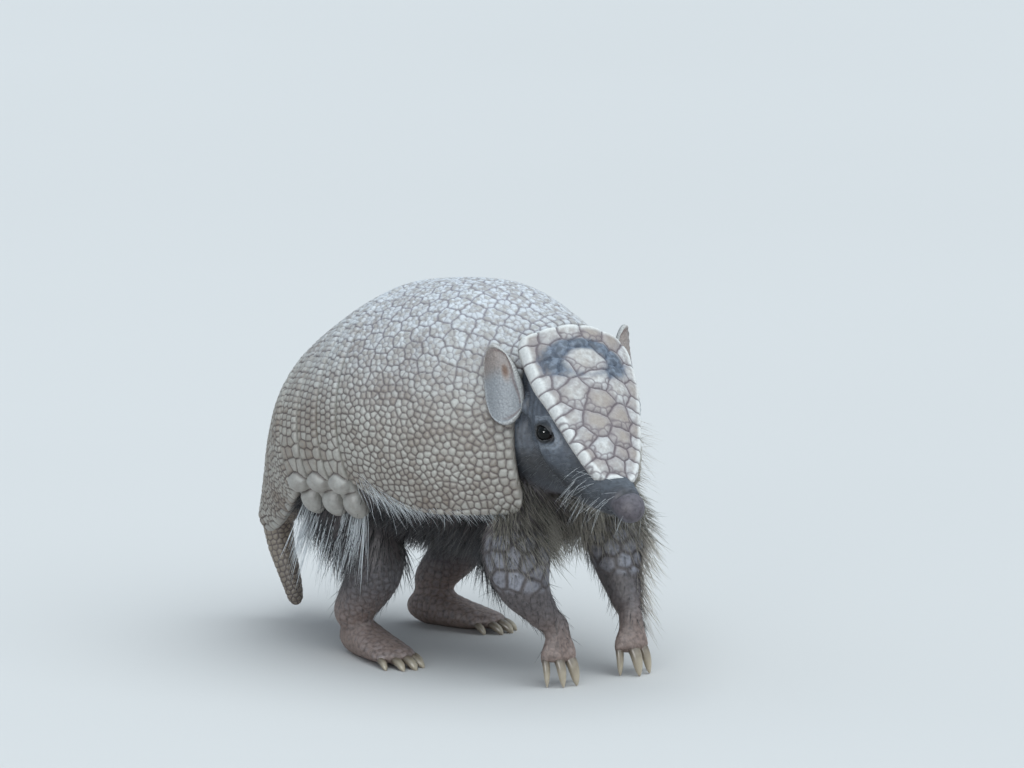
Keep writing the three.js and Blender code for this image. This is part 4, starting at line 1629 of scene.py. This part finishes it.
def scute_material(name, dull, bright, pale):
    """Horny tubercles: pale domes with brown lines between them, speckles, and a painted bluish sky sheen over
    the top of the shell.
    """
    shader = Shader(name)
    bead, tone, size = shader.marks("bead", "tone", "pale")
    patches, grain = shader.noise(48, 3), shader.noise(900, 3)
    horn = shader.mix(shader.steps(tone * 0.7 + patches, 0.4, 1.15), dull, bright)
    horn = shader.mix(size * 0.7, horn, pale)
    worn = shader.mix(shader.steps(bead, 0.5, 1.0) * 0.25, horn, pale)
    # The top of the shell, where horn and lines take a painted bluish sky sheen.
    high = shader.steps(shader.height(), 0.09, 0.155)
    speckles = shader.steps(shader.noise(380, 4), 0.42, 0.6)
    worn = shader.mix(speckles * (0.25 + high * 0.3), worn, SPECKLE_BROWN)
    sky_sheened = shader.mix(high * (0.75 - speckles * 0.5), worn, SKY_SHEEN_HORN)
    line = shader.mix(high * 0.8, GROOVE_BROWN, SKY_SHEEN_GROOVE)
    colour = shader.mix(shader.steps(bead, -0.05, 0.5), line, sky_sheened)
    colour = shader.darken(colour, (1 - grain) * 0.3)
    return shader.finish(colour, 0.62 - bead * 0.12, grain, distance=0.0001, strength=0.5)


def shield_material():
    """Mottled horn with dark grooves, a pale rim and a slate blue crescent."""
    shader = Shader("head_shield_horn")
    bead, groove, tone, rim, stain = shader.marks("bead", "groove", "tone", "pale", "stain")
    patches, grain, scratches = shader.noise(150, 4), shader.noise(1100, 3), shader.noise(480, 5)
    colours = SHIELD_COLOURS
    horn = shader.mix(shader.steps(tone * 0.45 + patches, 0.5, 0.9), *colours["horn"])
    mottled = shader.steps(scratches * 0.6 + patches * 0.6, 0.52, 0.74)
    horn = shader.mix(mottled * 0.62, horn, colours["mottled"])
    horn = shader.mix((1 - bead) * 0.4, horn, colours["edge"])
    horn = shader.mix(rim * 0.85, horn, colours["rim"])
    colour = shader.mix(groove * 0.95, horn, colours["groove"])
    stained = shader.steps(stain + patches * 0.5 + scratches * 0.4, 0.7, 1.3)
    slate = shader.mix(shader.steps(scratches, 0.4, 0.65), *colours["crescent"])
    colour = shader.mix(stained * 0.92, colour, slate)
    colour = shader.darken(colour, (1 - grain) * 0.35)
    bump = scratches * 0.7 + shader.pits(900) * 0.4
    return shader.finish(colour, 0.6 - bead * 0.08, bump, distance=0.00034, strength=0.8)


def skin_material():
    """Dark wrinkled skin: blue grey face, brown body, pinkish feet and purplish nose."""
    shader = Shader("bare_skin")
    patches, wrinkles, grain = shader.noise(70, 3), shader.noise(650, 4), shader.noise(1500, 2)
    two_toned = {key: shader.mix(patches, *SKIN_COLOURS[key]) for key in ("body", "foot", "plate")}
    blue = shader.mix(shader.steps(patches, 0.35, 0.62), *SKIN_COLOURS["face"])
    colours = {**SKIN_COLOURS, **two_toned, "face": blue}
    skin = colours["body"]
    for key, strength in SKIN_LAYERS.items():
        skin = shader.mix(shader.mark(key) * strength, skin, colours[key])
    # Painted shade: darker in the hollows of the wrinkles, where their bump sinks.
    colour = shader.darken(skin, shader.steps(1 - wrinkles, 0.4, 0.75) * 0.45)
    return shader.finish(colour, 0.6, wrinkles * 0.7 + grain * 0.3, distance=0.0005, strength=0.8)


def ear_material():
    """Thin grey skin, tan toward the tip, rust brown at the opening and pale on the rim."""
    shader = Shader("ear_skin")
    rim, rust, inner = shader.marks("rim", "rust", "inner")
    patches, grain = shader.noise(120, 3), shader.pits(1400)
    tan = shader.steps(rust * 0.8 + patches * 0.4, 0.3, 0.8)
    skin = shader.mix(patches, *EAR_COLOURS["skin"])
    skin = shader.mix(tan * 0.7, skin, EAR_COLOURS["tan"])
    skin = shader.mix(shader.steps(rust + patches * 0.3, 0.7, 1.15), skin, EAR_COLOURS["rust"])
    # The lining is darker, and the stripe inside the front rim is painted shade.
    skin = shader.mix(inner * 0.8, skin, EAR_COLOURS["inner"])
    skin = shader.mix(rim * 0.8, skin, EAR_COLOURS["rim"])
    return shader.finish(shader.darken(skin, grain * 0.35), 0.6, 1 - grain, distance=0.00018, strength=0.7)


def eye_material():
    shader = Shader("eye")
    return shader.finish(shader.mix(shader.mark("white"), *EYE_COLOURS), 0.06, IOR=1.3)


def claw_material():
    shader = Shader("claw_horn")
    streaks = shader.noise(420, 4)
    colour = shader.mix(shader.steps(shader.mark("along") + streaks * 0.4, 0.2, 1.1), *CLAW_COLOURS)
    return shader.finish(colour, 0.4, streaks, distance=0.0001, strength=0.5)


def hair_material(name, root, tip):
    shader = Shader(name)
    colour = shader.mix(shader.steps(shader.mark("along"), 0.0, 0.8), root, tip)
    colour = shader.darken(colour, shader.mark("tone") * 0.3)
    return shader.finish(colour, 0.42)


# ---------- the whole animal ----------


def dress_shell():
    scutes = scute_material("carapace_horn", TAN, CREAM, PALE_HORN)
    shoulder = shell_plate("shoulder_scutes", shoulder_pebbles(), fine=(176, 500), coarse=(22, 60))
    finished(shoulder, scutes, ["shell_shoulder"])
    for i, ends in enumerate(BANDS):
        band = shell_plate(f"band_{i + 1}_scutes", band_pebbles(*ends), fine=(28, 560), coarse=(4, 70))
        finished(band, scutes, [f"shell_band_{i + 1}"])
    hip = shell_plate("hip_scutes", hip_pebbles(), fine=(160, 440), coarse=(20, 55))
    finished(hip, scutes, ["shell_hip"])
    finished(head_shield(), shield_material(), ["head_shield"])
    finished(tail_piece(), scute_material("tail_horn", TAIL_DARK, TAIL_LIGHT, TAIL_LIGHT), ["tail"])


def dress_body():
    whole = skin_piece()
    finished(whole, skin_material(), ["trunk", "neck", "head", *LEGS, *FEET])
    eye_look, ear_look, claw_look = eye_material(), ear_material(), claw_material()
    for name, side in SIDES:
        finished(eye_piece(name, side), eye_look, [f"eye_{name}"])
        finished(ear_piece(name), ear_look, [f"ear_{name}"])
    for name, foot in FEET.items():
        for i, claw in enumerate(foot["claws"]):
            numbered = f"{name}_{i + 1}"
            nail = claw_piece(numbered.replace("foot", "nail"), foot, *claw)
            finished(nail, claw_look, [numbered.replace("foot", "claw")])
    return whole


def dress_coat(whole):
    looks = {name: hair_material(f"hair_{name}", *colours) for name, colours in HAIR_COLOURS.items()}
    for coat, colour in coat_pieces(Skin(whole)):
        finished(coat, looks[colour])


# ---------- floor, light and camera, in metres ----------
CAMERA_TURN = math.radians(42)  # round the animal, from its right side toward its head
CAMERA_RISE = math.radians(10)
CAMERA_FAR = 2.6
CAMERA_LENS = 237.4
CAMERA_AIM = (10.3, 32.8, 99.0)  # millimetres of the animal
SKY = {"energy": 2.75, "angle": 80, "color": (0.84, 0.95, 1.0), "place": (0.5, -0.02, 1.1)}
STUDIO = {"color": (0.73, 0.87, 1.0), "strength": 0.66}
CATCH_LIGHT = {"energy": 22, "size": 0.5, "beside": 0.36, "above": 0.18, "away": 1.4}
FLOOR_COLOURS = ((0.57, 0.54, 0.52), (0.60, 0.57, 0.55))


def stage():
    bm = bmesh.new()
    bmesh.ops.create_grid(bm, x_segments=1, y_segments=1, size=12)
    floor = as_object("floor", bm)
    shader = Shader("floor_paint")
    floor.data.materials.append(shader.finish(shader.mix(shader.noise(1.5, 2), *FLOOR_COLOURS), 0.9))


def aimed(name, data, place, aim):
    """A light or a camera that looks from its place to its aim."""
    made = linked(name, data)
    made.location = place
    made.rotation_euler = (Vector(aim) - Vector(place)).to_track_quat("-Z", "Y").to_euler()
    return made


def sky():
    """Wide light from above, and the even light of the room."""
    light = bpy.data.lights.new("sky_light", "SUN")
    light.energy, light.angle, light.color = SKY["energy"], math.radians(SKY["angle"]), SKY["color"]
    aimed("sky_light", light, SKY["place"], (0, 0, 0))
    world = bpy.data.worlds.new("studio")
    bpy.context.scene.world = world
    world.use_nodes = True
    background = world.node_tree.nodes["Background"]
    background.inputs["Color"].default_value = (*STUDIO["color"], 1)
    background.inputs["Strength"].default_value = STUDIO["strength"]
    bpy.context.scene.view_settings.view_transform = "Standard"


def camera_and_catch_light():
    """The camera, and beside it a light that only shows as a reflection, as in the eye."""
    aim = Vector(to_frame(CAMERA_AIM))
    flat, rise = CAMERA_FAR * math.cos(CAMERA_RISE), CAMERA_FAR * math.sin(CAMERA_RISE)
    back = Vector((flat * math.sin(CAMERA_TURN), -flat * math.cos(CAMERA_TURN), rise))
    camera = bpy.data.cameras.new("camera")
    camera.lens = CAMERA_LENS
    camera.sensor_width = 36
    camera.clip_end = 60
    bpy.context.scene.camera = aimed("camera", camera, aim + back, aim)

    light = bpy.data.lights.new("catch_light", "AREA")
    light.shape, light.size, light.energy = "DISK", CATCH_LIGHT["size"], CATCH_LIGHT["energy"]
    up = Vector((0, 0, 1))
    beside = back.cross(up).normalized() * CATCH_LIGHT["beside"]
    toward = back.normalized() + beside + up * CATCH_LIGHT["above"]
    lamp = aimed("catch_light", light, aim + toward * CATCH_LIGHT["away"], aim)
    lamp.visible_diffuse = False


dress_shell()
dress_coat(dress_body())
stage()
sky()
camera_and_catch_light()
